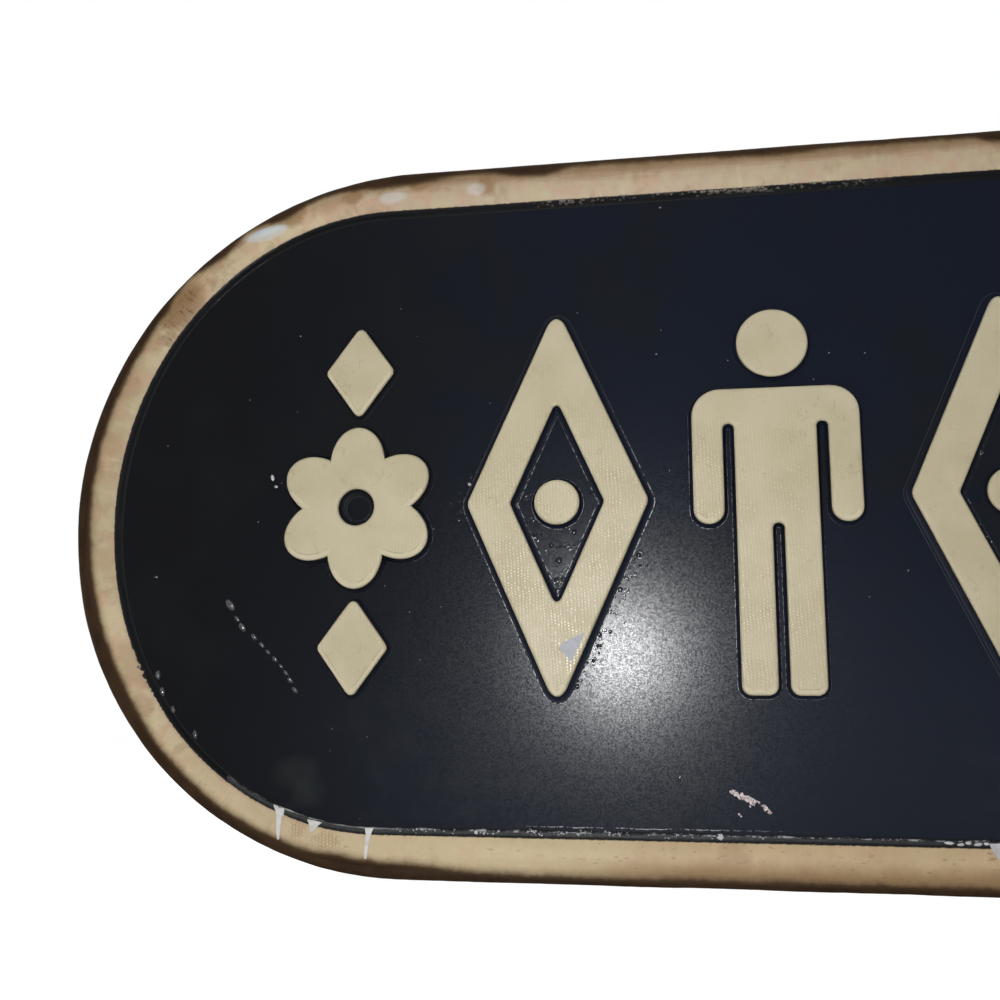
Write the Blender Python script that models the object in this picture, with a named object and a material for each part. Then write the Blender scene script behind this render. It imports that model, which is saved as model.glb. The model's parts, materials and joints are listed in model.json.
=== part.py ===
import math

import bmesh
import bpy
from mathutils import Matrix, Vector

# The sign hangs on a wall: X runs along it, Z is up, and the front looks along -Y.
# The back of the base board is the plane y = 0, with the origin at its middle.
# Depths below are distances in front of that plane. All sizes are in metres.

sign_length = 0.400
sign_height = 0.200
board_thickness = 0.012
board_inset = 0.0005  # the rim overhangs the board's edge by this much
board_chamfer = 0.0010
panel_thickness = 0.0027
panel_lap = 0.0012  # how far the panel runs in under the rim's face
piece_gap = 0.0003  # between faces that meet, and round each screw
arc_steps = 32  # facets of a half circle in the outlines

rim_face_width = 0.0113  # outer edge to the inner edge of the cream face
rim_curve_shift = 0.0075  # the inner curve's centre lies this much nearer the end than the outer one's
rim_side_height = 0.0044
rim_round_width = 0.0028
rim_shoulder_height = 0.0052
rim_crest_height = 0.00565  # in the middle of the cream face
rim_face_edge_height = 0.0041
rim_slope_width = 0.0021
rim_round_steps = 4
rim_crown_steps = 4
rim_slope_steps = 3

raised_thickness = 0.0027
raised_bevel = 0.0009
raised_pitch = 0.147 * sign_length  # middle to middle of the centre three
rosette_pitch = 0.14175 * sign_length  # lozenge to rosette

figure_height = 0.104
figure_head_radius = 0.0095
figure_neck_gap = 0.0030
figure_shoulder_width = 0.044
figure_shoulder_round = 0.0075
figure_arm_width = 0.0082
figure_arm_length = 0.0370
figure_limb_gap = 0.0030
figure_leg_length = 0.0450
figure_foot_round = 0.0026

lozenge_width = 0.0500
lozenge_height = 0.1120  # between the points before they are blunted
lozenge_band = 0.0110
lozenge_tip_round = 0.0030
boss_radius = 0.0062

rosette_radius = 0.0230  # to the tips of the petals
rosette_petals = 6
rosette_petal_steps = 10
rosette_petal_depth = 0.0072
rosette_eye_radius = 0.0052
drop_width = 0.0205
drop_height = 0.0280  # between the points before they are blunted
drop_tip_round = 0.0018
drop_rise = 0.0393

rim_screw_head_radius = 0.0029
rim_screw_head_height = 0.0018
rim_screw_radius = 0.00145
rim_screw_length = 0.0157
rim_screw_sink = 0.0003  # head below the board's back
bow_screw_angle = 52.0  # degrees from the middle screw of a bow
rail_screw_offset = 0.155 * sign_length

plate_height = 0.0500
plate_width = 0.0170
plate_thickness = 0.0012
plate_round = 0.0040
plate_sink = 0.0002  # plate below the board's back, so that the wood meets the wall
plate_offset = 0.275 * sign_length
plate_rise = 0.16 * sign_height
keyhole_entry_radius = 0.00475
keyhole_entry_drop = 0.0070
keyhole_slot_width = 0.0048
keyhole_slot_rise = 0.0090
head_room_width = 0.0120  # routed behind the keyhole for the wall screw's head
head_room_depth = 0.0060
head_room_reach = 0.0030  # past the ends of the keyhole

plate_screw_spacing = 0.0390
plate_screw_head_radius = 0.0024
plate_screw_head_height = 0.0011
plate_screw_radius = 0.00125
plate_screw_length = 0.0092
plate_screw_sink = 0.0001  # head below the plate's back

screw_sides = 10
screw_turns = 5
screw_thread_depth = 0.00035
screw_slot_width = 0.0008
screw_slot_depth = 0.0007
screw_hole_sides = 16
cut_through = 0.0020  # how far a cutter runs past the face that it enters

# Sizes that follow from those above
end_radius = sign_height / 2
end_centre = sign_length / 2 - end_radius
joint_at = end_centre + rim_curve_shift
inner_half_height = end_radius - rim_face_width
inner_reach = sign_length / 2 - rim_face_width - joint_at
rim_back = board_thickness + piece_gap
panel_back = board_thickness + piece_gap
panel_front = panel_back + panel_thickness
raised_back = panel_front + piece_gap
raised_front = raised_back + raised_thickness
rebate = panel_lap + piece_gap
lip_height = panel_front + piece_gap - rim_back
rim_foot_width = rim_face_width - rebate


def clear_scene():
    for old in list(bpy.data.objects):
        bpy.data.objects.remove(old, do_unlink=True)


def material(name, colour, roughness, metallic=0.0):
    made = bpy.data.materials.new(name)
    made.use_nodes = True
    shader = made.node_tree.nodes["Principled BSDF"]
    shader.inputs["Base Color"].default_value = (*colour, 1.0)
    shader.inputs["Roughness"].default_value = roughness
    shader.inputs["Metallic"].default_value = metallic
    return made


def finish_object(name, shape, finish, smooth_angle=None):
    """Closes a bmesh into an object, with its faces turned outwards."""
    bmesh.ops.remove_doubles(shape, verts=shape.verts, dist=1e-6)
    bmesh.ops.recalc_face_normals(shape, faces=shape.faces)
    mesh = bpy.data.meshes.new(name)
    shape.to_mesh(mesh)
    shape.free()
    if smooth_angle is not None:
        mesh.shade_smooth()
        mesh.set_sharp_from_angle(angle=math.radians(smooth_angle))
    made = bpy.data.objects.new(name, mesh)
    bpy.context.scene.collection.objects.link(made)
    if finish is not None:
        mesh.materials.append(finish)
    return made


def add_slab(shape, outline, near, far):
    """A closed prism over an outline of (x, z) points, between two depths. Returns its front face."""
    front = [shape.verts.new((x, -far, z)) for x, z in outline]
    back = [shape.verts.new((x, -near, z)) for x, z in outline]
    face = shape.faces.new(front)
    shape.faces.new(list(reversed(back)))
    count = len(outline)
    for index in range(count):
        following = (index + 1) % count
        shape.faces.new((front[index], back[index], back[following], front[following]))
    return face


def add_turned(shape, profile, sides, centre=(0.0, 0.0)):
    """A closed turned solid along Y from (radius, depth) pairs. A radius of 0 ends in a point."""
    rings = []
    for radius, depth in profile:
        if radius == 0.0:
            rings.append([shape.verts.new((centre[0], -depth, centre[1]))])
            continue
        ring = []
        for index in range(sides):
            angle = 2 * math.pi * (index + 0.5) / sides
            place = (centre[0] + radius * math.cos(angle), -depth, centre[1] + radius * math.sin(angle))
            ring.append(shape.verts.new(place))
        rings.append(ring)
    for lower, upper in zip(rings, rings[1:]):
        for index in range(sides):
            following = (index + 1) % sides
            corners = [lower[index % len(lower)], lower[following % len(lower)]]
            corners += [upper[following % len(upper)], upper[index % len(upper)]]
            shape.faces.new(list(dict.fromkeys(corners)))
    for ring in (rings[0], rings[-1]):
        if len(ring) > 1:
            shape.faces.new(ring)


def cutter_from(name, shape):
    made = finish_object(name, shape, None)
    made.hide_render = True
    made.display_type = "WIRE"
    return made


def cut(target, cutter):
    trim = target.modifiers.new("cut " + cutter.name, "BOOLEAN")
    trim.operation = "DIFFERENCE"
    trim.solver = "EXACT"
    trim.object = cutter


def arc(centre, radius, start, end, steps):
    """Points of an arc, its angles in degrees, both ends included."""
    points = []
    for index in range(steps + 1):
        angle = math.radians(start + (end - start) * index / steps)
        points.append((centre[0] + radius * math.cos(angle), centre[1] + radius * math.sin(angle)))
    return points


def rounded(corners, steps=4):
    """A closed outline from (x, z, radius) corners, each corner turned with its own radius."""
    turned = []
    count = len(corners)
    for index, (x, z, radius) in enumerate(corners):
        here = Vector((x, z))
        if radius == 0.0:
            turned.append(here)
            continue
        before = (Vector(corners[index - 1][:2]) - here).normalized()
        after = (Vector(corners[(index + 1) % count][:2]) - here).normalized()
        half = before.angle(after) / 2
        centre = here + (before + after).normalized() * radius / math.sin(half)
        spoke = here + before * radius / math.tan(half) - centre
        last = here + after * radius / math.tan(half) - centre
        turn = Matrix.Rotation(-spoke.angle_signed(last) / steps, 2)
        for step in range(steps + 1):
            turned.append(centre + spoke)
            spoke = turn @ spoke
    apart = [place for index, place in enumerate(turned) if (place - turned[index - 1]).length > 1e-5]
    return [tuple(place) for place in apart]


def both_halves(right):
    """A closed outline from its right half, listed from the top middle to the bottom middle."""
    left = [(-x, z, radius) for x, z, radius in reversed(right)]
    return right + left


def bow_outline(centre, reach, half_height):
    """An outline with straight top and bottom and an elliptical end on each side."""
    outline = []
    for side, start in ((1, -90), (-1, 90)):
        for index in range(arc_steps + 1):
            angle = math.radians(start + 180 * index / arc_steps)
            outline.append((side * centre + reach * math.cos(angle), half_height * math.sin(angle)))
    return outline


def rim_line(angle_share, joint_gap=0.0):
    """The right bow's outer and inner edge at a share from -1, its lower joint, to 1, its upper one."""
    outer_limit = math.acos((rim_curve_shift + joint_gap) / end_radius)
    inner_limit = math.acos(joint_gap / inner_reach)
    outer_angle = outer_limit * angle_share
    inner_angle = inner_limit * angle_share
    outer = Vector((end_radius * math.cos(outer_angle), end_radius * math.sin(outer_angle)))
    inner = Vector((inner_reach * math.cos(inner_angle), inner_half_height * math.sin(inner_angle)))
    return outer + Vector((end_centre, 0.0)), inner + Vector((joint_at, 0.0))


def rail_line(x):
    """The top rail's outer and inner edge at a place along it."""
    past_centre = max(abs(x) - end_centre, 0.0)
    outer = Vector((x, math.sqrt(end_radius ** 2 - past_centre ** 2)))
    return outer, Vector((x, inner_half_height))


def rim_section(outer, inner):
    """The rim's moulded section between two edge points, as (x, depth, z), all the way round."""
    across = inner - outer
    width = across.length
    across.normalize()
    places = [(0.0, 0.0)]
    for step in range(rim_round_steps + 1):
        angle = math.pi / 2 * step / rim_round_steps
        rise = rim_shoulder_height - rim_side_height
        along = rim_round_width * (1 - math.cos(angle))
        places.append((along, rim_side_height + rise * math.sin(angle)))
    for step in range(1, rim_crown_steps + 1):
        share = step / rim_crown_steps
        along = rim_round_width + (width - rim_round_width) * share
        level = rim_shoulder_height + (rim_face_edge_height - rim_shoulder_height) * share
        middle = (rim_shoulder_height + rim_face_edge_height) / 2
        places.append((along, level + (rim_crest_height - middle) * 4 * share * (1 - share)))
    for step in range(1, rim_slope_steps + 1):
        angle = math.pi / 2 * step / rim_slope_steps
        along = width + rim_slope_width * math.sin(angle)
        places.append((along, lip_height + (rim_face_edge_height - lip_height) * math.cos(angle)))
    places.append((width - rebate, lip_height))
    places.append((width - rebate, 0.0))
    section = []
    for along, height in places:
        place = outer + across * along
        section.append((place.x, -(rim_back + height), place.y))
    return section


def rim_piece(name, lines, flip, finish):
    """Lofts the rim's section through a list of edge pairs. flip turns it to the other side."""
    shape = bmesh.new()
    rings = []
    for outer, inner in lines:
        section = rim_section(outer, inner)
        rings.append([shape.verts.new((x * flip[0], y, z * flip[1])) for x, y, z in section])
    for lower, upper in zip(rings, rings[1:]):
        for index in range(len(lower)):
            following = (index + 1) % len(lower)
            shape.faces.new((lower[index], lower[following], upper[following], upper[index]))
    shape.faces.new(rings[0])
    shape.faces.new(list(reversed(rings[-1])))
    return finish_object(name, shape, finish, smooth_angle=35)


def bow_lines():
    half_gap = piece_gap / 2
    return [rim_line(2 * step / arc_steps - 1, half_gap) for step in range(arc_steps + 1)]


def rail_lines():
    last = joint_at - piece_gap / 2
    curved = (last, (last + end_centre) / 2, end_centre)
    return [rail_line(-x) for x in curved] + [rail_line(x) for x in reversed(curved)]


def rim_screw_places():
    """(x, z) of each rim screw, in the middle of the rim's foot: three in a bow, two in a rail."""
    places = []
    for side in (-1, 1):
        for turn in (1, 0, -1):
            share = turn * math.radians(bow_screw_angle) / math.acos(rim_curve_shift / end_radius)
            outer, inner = rim_line(share)
            foot = (inner - outer).length - rebate
            place = outer + (inner - outer).normalized() * foot / 2
            places.append((side * place.x, place.y))
    for side in (1, -1):
        for x in (-rail_screw_offset, rail_screw_offset):
            places.append((x, side * (end_radius - rim_foot_width / 2)))
    return places


def make_rim(finish):
    """The four rim lengths, bored from behind for their screws."""
    pieces = [
        rim_piece("rim_left_bow", bow_lines(), (-1, 1), finish),
        rim_piece("rim_right_bow", bow_lines(), (1, 1), finish),
        rim_piece("rim_top_rail", rail_lines(), (1, 1), finish),
        rim_piece("rim_bottom_rail", rail_lines(), (1, -1), finish),
    ]
    places = rim_screw_places()
    radius = rim_screw_radius + piece_gap
    tip = rim_screw_sink + rim_screw_length + piece_gap
    for index, piece in enumerate(pieces):
        shape = bmesh.new()
        own = places[3 * index:3 * index + 3] if index < 2 else places[2 * index + 2:2 * index + 4]
        for place in own:
            add_turned(shape, [(radius, rim_back - cut_through), (radius, tip)], screw_hole_sides, place)
        cut(piece, cutter_from("pilot_holes_" + piece.name, shape))


def add_countersunk_bore(shape, place, back, head_radius, head_height, radius, far):
    """The room of a countersunk screw whose head lies at a depth of back, with the gap all round."""
    wide = head_radius + piece_gap
    narrow = radius + piece_gap
    profile = [
        (wide, back - cut_through),
        (wide, back),
        (narrow, back + head_height),
        (narrow, far),
    ]
    add_turned(shape, profile, screw_hole_sides, place)


def plate_centres():
    return [(-plate_offset, plate_rise), (plate_offset, plate_rise)]


def plate_outline(grow=0.0):
    half_width = plate_width / 2 + grow
    half_height = plate_height / 2 + grow
    radius = plate_round + grow
    right = [(half_width, half_height, radius), (half_width, -half_height, radius)]
    return rounded(both_halves(right))


def keyhole_outline():
    """The keyhole: a round entry below, and a narrower slot that runs up from it."""
    half = keyhole_slot_width / 2
    opening = math.degrees(math.asin(half / keyhole_entry_radius))
    entry = arc((0.0, -keyhole_entry_drop), keyhole_entry_radius, 90 + opening, 450 - opening, 20)
    top = arc((0.0, keyhole_slot_rise), half, 0, 180, 8)
    return entry + top


def head_room_outline():
    """The routed room behind a keyhole, with round ends."""
    half = head_room_width / 2
    top = keyhole_slot_rise + keyhole_slot_width / 2 + head_room_reach - half
    bottom = -keyhole_entry_drop - keyhole_entry_radius - head_room_reach + half
    return arc((0.0, top), half, 0, 180, 8) + arc((0.0, bottom), half, 180, 360, 8)


def moved(outline, centre):
    return [(x + centre[0], z + centre[1]) for x, z in outline]


def make_board(finish):
    """The base board, with its pockets for the hanger plates and its countersunk screw holes."""
    shape = bmesh.new()
    outline = bow_outline(end_centre, end_radius - board_inset, end_radius - board_inset)
    add_slab(shape, outline, 0.0, board_thickness)
    back_edges = [edge for edge in shape.edges if all(abs(v.co.y) < 1e-7 for v in edge.verts)]
    bmesh.ops.bevel(shape, geom=back_edges, offset=board_chamfer, segments=1, affect="EDGES")
    board = finish_object("base_board", shape, finish)

    seats = bmesh.new()
    rooms = bmesh.new()
    plate_depth = plate_sink + plate_thickness + piece_gap
    for centre in plate_centres():
        add_slab(seats, moved(plate_outline(piece_gap), centre), -cut_through, plate_depth)
        add_slab(rooms, moved(head_room_outline(), centre), -cut_through, plate_depth + head_room_depth)
    cut(board, cutter_from("plate_seats", seats))
    cut(board, cutter_from("head_rooms", rooms))

    bores = bmesh.new()
    for place in rim_screw_places():
        add_countersunk_bore(
            bores, place, rim_screw_sink, rim_screw_head_radius, rim_screw_head_height,
            rim_screw_radius, board_thickness + cut_through,
        )
    tip = plate_screw_back() + plate_screw_length + piece_gap
    radius = plate_screw_radius + piece_gap
    for place in plate_screw_places():
        add_turned(bores, [(radius, plate_depth - cut_through), (radius, tip)], screw_hole_sides, place)
    cut(board, cutter_from("screw_bores", bores))


def plate_screw_back():
    return plate_sink + plate_screw_sink


def plate_screw_places():
    places = []
    for x, z in plate_centres():
        places.append((x, z + plate_screw_spacing / 2))
        places.append((x, z - plate_screw_spacing / 2))
    return places


def make_plates(finish):
    for name, centre in zip(("hanger_plate_left", "hanger_plate_right"), plate_centres()):
        shape = bmesh.new()
        add_slab(shape, plate_outline(), plate_sink, plate_sink + plate_thickness)
        plate = finish_object(name, shape, finish)
        plate.location = (centre[0], 0.0, centre[1])

        holes = bmesh.new()
        far = plate_sink + plate_thickness + cut_through
        add_slab(holes, keyhole_outline(), plate_sink - cut_through, far)
        for side in (1, -1):
            add_countersunk_bore(
                holes, (0.0, side * plate_screw_spacing / 2), plate_screw_back(),
                plate_screw_head_radius, plate_screw_head_height, plate_screw_radius, far,
            )
        cutter = cutter_from("holes_" + name, holes)
        cutter.parent = plate
        cut(plate, cutter)


def screw_mesh(name, back, head_radius, head_height, radius, length, finish):
    """A slotted countersunk wood screw along Y, its head at a depth of back and its point in front."""
    profile = [(head_radius, back), (head_radius, back + 0.1 * head_height), (radius, back + head_height)]
    thread_start = back + head_height + 0.15 * length
    thread_end = back + 0.88 * length
    pitch = (thread_end - thread_start) / screw_turns
    for turn in range(screw_turns):
        profile.append((radius - screw_thread_depth, thread_start + pitch * turn))
        profile.append((radius, thread_start + pitch * (turn + 0.5)))
    profile.append((radius - screw_thread_depth, thread_end))
    profile.append((0.0, back + length))
    shape = bmesh.new()
    add_turned(shape, profile, screw_sides)
    blank = finish_object(name + "_blank", shape, finish)

    slot = bmesh.new()
    half = screw_slot_width / 2
    reach = head_radius + cut_through
    outline = [(-reach, -half), (reach, -half), (reach, half), (-reach, half)]
    add_slab(slot, outline, back - cut_through, back + screw_slot_depth)
    cutter = cutter_from(name + "_slot", slot)
    cut(blank, cutter)
    view = bpy.context.evaluated_depsgraph_get()
    mesh = bpy.data.meshes.new_from_object(blank.evaluated_get(view))
    mesh.name = name
    for spare in (blank, cutter):
        bpy.data.objects.remove(spare, do_unlink=True)
    return mesh


def place_screws(mesh, names, places):
    for name, (x, z) in zip(names, places):
        screw = bpy.data.objects.new(name, mesh)
        screw.location = (x, 0.0, z)
        bpy.context.scene.collection.objects.link(screw)


def make_panel(finish):
    shape = bmesh.new()
    outline = bow_outline(joint_at, inner_reach + panel_lap, inner_half_height + panel_lap)
    add_slab(shape, outline, panel_back, panel_front)
    finish_object("ground_panel", shape, finish)


def raised_piece(name, outline, x, finish, holes=()):
    """A cut-out on the ground with its front edge bevelled. holes are outlines cut right through."""
    shape = bmesh.new()
    front = add_slab(shape, outline, raised_back, raised_front)
    rounding = {"offset": raised_bevel, "segments": 2, "profile": 0.5, "affect": "EDGES"}
    bmesh.ops.bevel(shape, geom=list(front.edges), **rounding)
    piece = finish_object(name, shape, finish, smooth_angle=40)
    piece.location = (x, 0.0, 0.0)
    for index, hole in enumerate(holes):
        opening = bmesh.new()
        far = raised_front + cut_through
        add_slab(opening, hole, raised_back - cut_through, far)
        cutter = cutter_from("opening_%d_%s" % (index, name), opening)
        cutter.parent = piece
        cut(piece, cutter)
    return piece


def figure_body_outline():
    half_height = figure_height / 2
    shoulder = half_height - 2 * figure_head_radius - figure_neck_gap
    half_width = figure_shoulder_width / 2
    arm_inside = half_width - figure_arm_width
    side = arm_inside - figure_limb_gap
    hand = shoulder - figure_arm_length
    armpit = shoulder - figure_arm_width - figure_limb_gap / 2
    arm_round = figure_arm_width / 2
    gap_round = figure_limb_gap / 2
    crotch = figure_leg_length - half_height
    right = [
        (half_width, shoulder, figure_shoulder_round),
        (half_width, hand, arm_round),
        (arm_inside, hand, arm_round),
        (arm_inside, armpit, gap_round),
        (side, armpit, gap_round),
        (side, -half_height, figure_foot_round),
        (figure_limb_gap / 2, -half_height, figure_foot_round),
        (figure_limb_gap / 2, crotch, gap_round),
    ]
    return rounded(both_halves(right))


def lozenge_outline(width, height, tip_round):
    corners = [(width / 2, 0.0, tip_round), (0.0, -height / 2, tip_round)]
    corners += [(-width / 2, 0.0, tip_round), (0.0, height / 2, tip_round)]
    return rounded(corners)


def rosette_outline():
    """A flower outline: round petals that meet in creases."""
    outline = []
    steps = rosette_petal_steps * rosette_petals
    for index in range(steps):
        angle = 2 * math.pi * index / steps
        crease = 1 - abs(math.cos(rosette_petals * angle / 2))
        radius = rosette_radius - rosette_petal_depth * crease
        outline.append((radius * math.sin(angle), radius * math.cos(angle)))
    return outline


def make_raised_pieces(finish):
    half_height = figure_height / 2
    head = arc((0.0, half_height - figure_head_radius), figure_head_radius, 0, 345, 23)
    raised_piece("figure_head", head, 0.0, finish)
    raised_piece("figure_body", figure_body_outline(), 0.0, finish)
    half_angle = math.atan2(lozenge_width, lozenge_height)
    inner_height = lozenge_height - 2 * lozenge_band / math.sin(half_angle)
    inner_width = lozenge_width - 2 * lozenge_band / math.cos(half_angle)
    opening = lozenge_outline(inner_width, inner_height, lozenge_tip_round / 2)
    eye = arc((0.0, 0.0), rosette_eye_radius, 0, 342, 19)
    boss = arc((0.0, 0.0), boss_radius, 0, 337.5, 15)
    drop = lozenge_outline(drop_width, drop_height, drop_tip_round)
    for side, word in ((-1, "left"), (1, "right")):
        ring = lozenge_outline(lozenge_width, lozenge_height, lozenge_tip_round)
        raised_piece("lozenge_" + word, ring, side * raised_pitch, finish, [opening])
        raised_piece("boss_" + word, boss, side * raised_pitch, finish)
        place = side * (raised_pitch + rosette_pitch)
        raised_piece("rosette_" + word, rosette_outline(), place, finish, [eye])
        for rise, level in ((drop_rise, "upper"), (-drop_rise, "lower")):
            piece = raised_piece("drop_%s_%s" % (word, level), drop, place, finish)
            piece.location.z = rise


def main():
    clear_scene()
    brown = material("stained board", (0.045, 0.028, 0.018), 0.55)
    navy = material("navy gloss", (0.010, 0.013, 0.022), 0.16)
    cream = material("aged cream", (0.50, 0.44, 0.33), 0.55)
    zinc = material("zinc steel", (0.55, 0.54, 0.50), 0.38, 1.0)

    make_board(brown)
    make_panel(navy)
    make_rim(cream)
    make_raised_pieces(cream)
    make_plates(zinc)

    rim_screw = screw_mesh(
        "rim_screw", rim_screw_sink, rim_screw_head_radius, rim_screw_head_height,
        rim_screw_radius, rim_screw_length, zinc,
    )
    names = ["rim_screw_%02d" % (index + 1) for index in range(len(rim_screw_places()))]
    place_screws(rim_screw, names, rim_screw_places())
    plate_screw = screw_mesh(
        "plate_screw", plate_screw_back(), plate_screw_head_radius, plate_screw_head_height,
        plate_screw_radius, plate_screw_length, zinc,
    )
    names = ["plate_screw_left_upper", "plate_screw_left_lower"]
    names += ["plate_screw_right_upper", "plate_screw_right_lower"]
    place_screws(plate_screw, names, plate_screw_places())


main()
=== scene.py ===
import json
import math
import random

import bmesh
import bpy
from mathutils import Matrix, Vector

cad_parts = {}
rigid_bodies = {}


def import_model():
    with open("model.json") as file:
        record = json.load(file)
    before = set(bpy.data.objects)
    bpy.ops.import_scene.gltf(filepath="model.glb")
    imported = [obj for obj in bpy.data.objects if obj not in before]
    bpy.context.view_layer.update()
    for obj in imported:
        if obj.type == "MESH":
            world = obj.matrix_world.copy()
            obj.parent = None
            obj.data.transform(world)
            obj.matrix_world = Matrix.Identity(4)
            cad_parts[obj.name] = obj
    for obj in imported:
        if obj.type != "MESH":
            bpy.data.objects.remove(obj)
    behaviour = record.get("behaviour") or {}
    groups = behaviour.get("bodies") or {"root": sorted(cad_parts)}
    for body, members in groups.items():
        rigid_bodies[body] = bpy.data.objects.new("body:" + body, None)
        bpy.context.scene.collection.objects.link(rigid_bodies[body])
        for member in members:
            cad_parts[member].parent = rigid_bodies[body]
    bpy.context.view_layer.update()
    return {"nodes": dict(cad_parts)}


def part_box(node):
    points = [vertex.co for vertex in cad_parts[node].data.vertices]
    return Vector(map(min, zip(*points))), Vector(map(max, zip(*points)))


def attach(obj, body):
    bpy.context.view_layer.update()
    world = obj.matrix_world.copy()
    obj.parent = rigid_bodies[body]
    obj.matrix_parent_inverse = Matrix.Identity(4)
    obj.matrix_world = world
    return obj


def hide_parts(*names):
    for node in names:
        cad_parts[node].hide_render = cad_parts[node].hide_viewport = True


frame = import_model()
mm = 0.001
print("frame loaded,", len(frame["nodes"]), "nodes")


# camera, first of all: a phone held a little left of the sign's middle and below it
cameraSetup = {
    "place": (-20.69 * mm, -328.33 * mm, -60.26 * mm),
    "turnDegrees": (100.979, -0.389, 9.738),
    "lens": 42.05,
    "sensor": 36.0,
}


def addCamera(setup):
    turn = [math.radians(angle) for angle in setup["turnDegrees"]]
    bpy.ops.object.camera_add(location=setup["place"], rotation=turn)
    camera = bpy.context.object
    camera.name = "signCamera"
    camera.data.lens = setup["lens"]
    camera.data.sensor_width = setup["sensor"]
    camera.data.clip_start = 0.01
    camera.data.clip_end = 50
    bpy.context.scene.camera = camera


addCamera(cameraSetup)


# shader maths: a Wire is one output socket of a material, and works in Python expressions
class Wire:
    def __init__(self, tree, socket):
        self.tree = tree
        self.socket = socket

    def make(self, kind, settings=None, inputs=None, output=0):
        node = self.tree.nodes.new(kind)
        for name, value in (settings or {}).items():
            if name == "points":
                setCurve(node.mapping, value)
            else:
                setattr(node, name, value)
        for name, value in (inputs or {}).items():
            socket = node.inputs[name]
            if isinstance(value, Wire):
                self.tree.links.new(value.socket, socket)
            elif isinstance(value, tuple) and socket.type == "RGBA":
                socket.default_value = (*value, 1.0)
            else:
                socket.default_value = value
        return Wire(self.tree, node.outputs[output])

    def maths(self, operation, *others):
        inputs = {index: value for index, value in enumerate((self, *others))}
        return self.make("ShaderNodeMath", {"operation": operation}, inputs)

    def __add__(self, other):
        return self.maths("ADD", other)

    def __sub__(self, other):
        return self.maths("SUBTRACT", other)

    def __mul__(self, other):
        return self.maths("MULTIPLY", other)

    def __truediv__(self, other):
        return self.maths("DIVIDE", other)

    def __rsub__(self, other):
        return (self * -1.0).maths("ADD", other)

    def __abs__(self):
        return self.maths("ABSOLUTE")

    __radd__ = __add__
    __rmul__ = __mul__

    def step(self, low, high):
        # 0 below low and 1 above high, with a soft change between, also when low is above high
        settings = {"interpolation_type": "SMOOTHSTEP"}
        values = {0: self, 1: low, 2: high, 3: 0.0, 4: 1.0}
        if low > high:
            values = {0: self, 1: high, 2: low, 3: 1.0, 4: 0.0}
        return self.make("ShaderNodeMapRange", settings, values)

    def noise(self, size, detail=3.0, rough=0.6, stretch=(1, 1, 1), shift=(0, 0, 0)):
        # self is a place, size the width of a patch in metres
        scale = tuple(1 / (size * longer) for longer in stretch)
        scaled = self.make("ShaderNodeMapping", inputs={0: self, 1: shift, 3: scale})
        inputs = {"Vector": scaled, "Scale": 1.0, "Detail": detail, "Roughness": rough}
        return self.make("ShaderNodeTexNoise", inputs=inputs)

    def join(self, second, third=0.0):
        # a place from two or three numbers
        return self.make("ShaderNodeCombineXYZ", inputs={0: self, 1: second, 2: third})

    def parts(self, letters="xyz"):
        # the numbers of a place, by the letters of their axes
        split = self.make("ShaderNodeSeparateXYZ", inputs={0: self}).socket.node
        return [Wire(self.tree, split.outputs["xyz".index(letter)]) for letter in letters]

    def blend(self, first, second):
        # a colour from first to second as self goes from 0 to 1, each a Wire or 0 to 255
        first, second = (paint(*one) if isinstance(one, tuple) else one for one in (first, second))
        settings = {"data_type": "RGBA"}
        return self.make("ShaderNodeMix", settings, {0: self, 6: first, 7: second}, output=2)


def setCurve(mapping, points):
    # a smooth curve through points whose both numbers run from 0 to 1
    curve = mapping.curves[0]
    curve.points[0].location = points[0]
    curve.points[1].location = points[-1]
    for place in points[1:-1]:
        curve.points.new(*place)
    mapping.update()


def paint(red, green, blue):
    # a colour as seen on the screen, 0 to 255, as the shader wants it
    parts = [part / 255 for part in (red, green, blue)]
    return tuple(part / 12.92 if part <= 0.04045 else ((part + 0.055) / 1.055) ** 2.4 for part in parts)


def layers(colour, *coats):
    # coats laid one over the other: each a mask, and the colour that shows where the mask is 1
    for mask, tint in coats:
        colour = mask.blend(colour, tint)
    return colour


def newMaterial(name, **constants):
    # a material, and the place on the object as a Wire
    made = bpy.data.materials.new(name)
    made.use_nodes = True
    shader = made.node_tree.nodes["Principled BSDF"]
    for socket, value in constants.items():
        shader.inputs[socket.replace("_", " ")].default_value = value
    start = made.node_tree.nodes.new("ShaderNodeTexCoord")
    return made, Wire(made.node_tree, start.outputs["Object"])


def plug(made, **wires):
    # links wires to the sockets of a material's shader
    tree = made.node_tree
    for socket, wire in wires.items():
        tree.links.new(wire.socket, tree.nodes["Principled BSDF"].inputs[socket.replace("_", " ")])


def finished(made, colour, rough, height, depth, strength=1.0):
    # a material with its colour, its roughness and its relief, depth metres deep
    inputs = {"Height": height, "Distance": depth, "Strength": strength}
    plug(made, Base_Color=colour, Roughness=rough, Normal=height.make("ShaderNodeBump", inputs=inputs))
    return made


def depthInside(x, z, centre, reach, halfHeight):
    # how far a place lies inside an outline with straight sides and round ends, in millimetres
    side = (abs(x) - centre).maths("MAXIMUM", 0.0) / reach
    rise = z / halfHeight
    return (1.0 - (side * side + rise * rise).maths("SQRT")) * halfHeight * 1000


def patch(x, z, centre, size, turn=0.0):
    # a round or long soft patch: 1 in its middle, 0 at the edge, sizes in millimetres
    across = x - centre[0] * mm
    up = z - centre[1] * mm
    cos, sin = math.cos(math.radians(turn)), math.sin(math.radians(turn))
    along = (across * cos + up * sin) / (size[0] * mm)
    aside = (up * cos - across * sin) / (size[1] * mm)
    return (1.0 - (along * along + aside * aside).maths("SQRT")).maths("MAXIMUM", 0.0)


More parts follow.
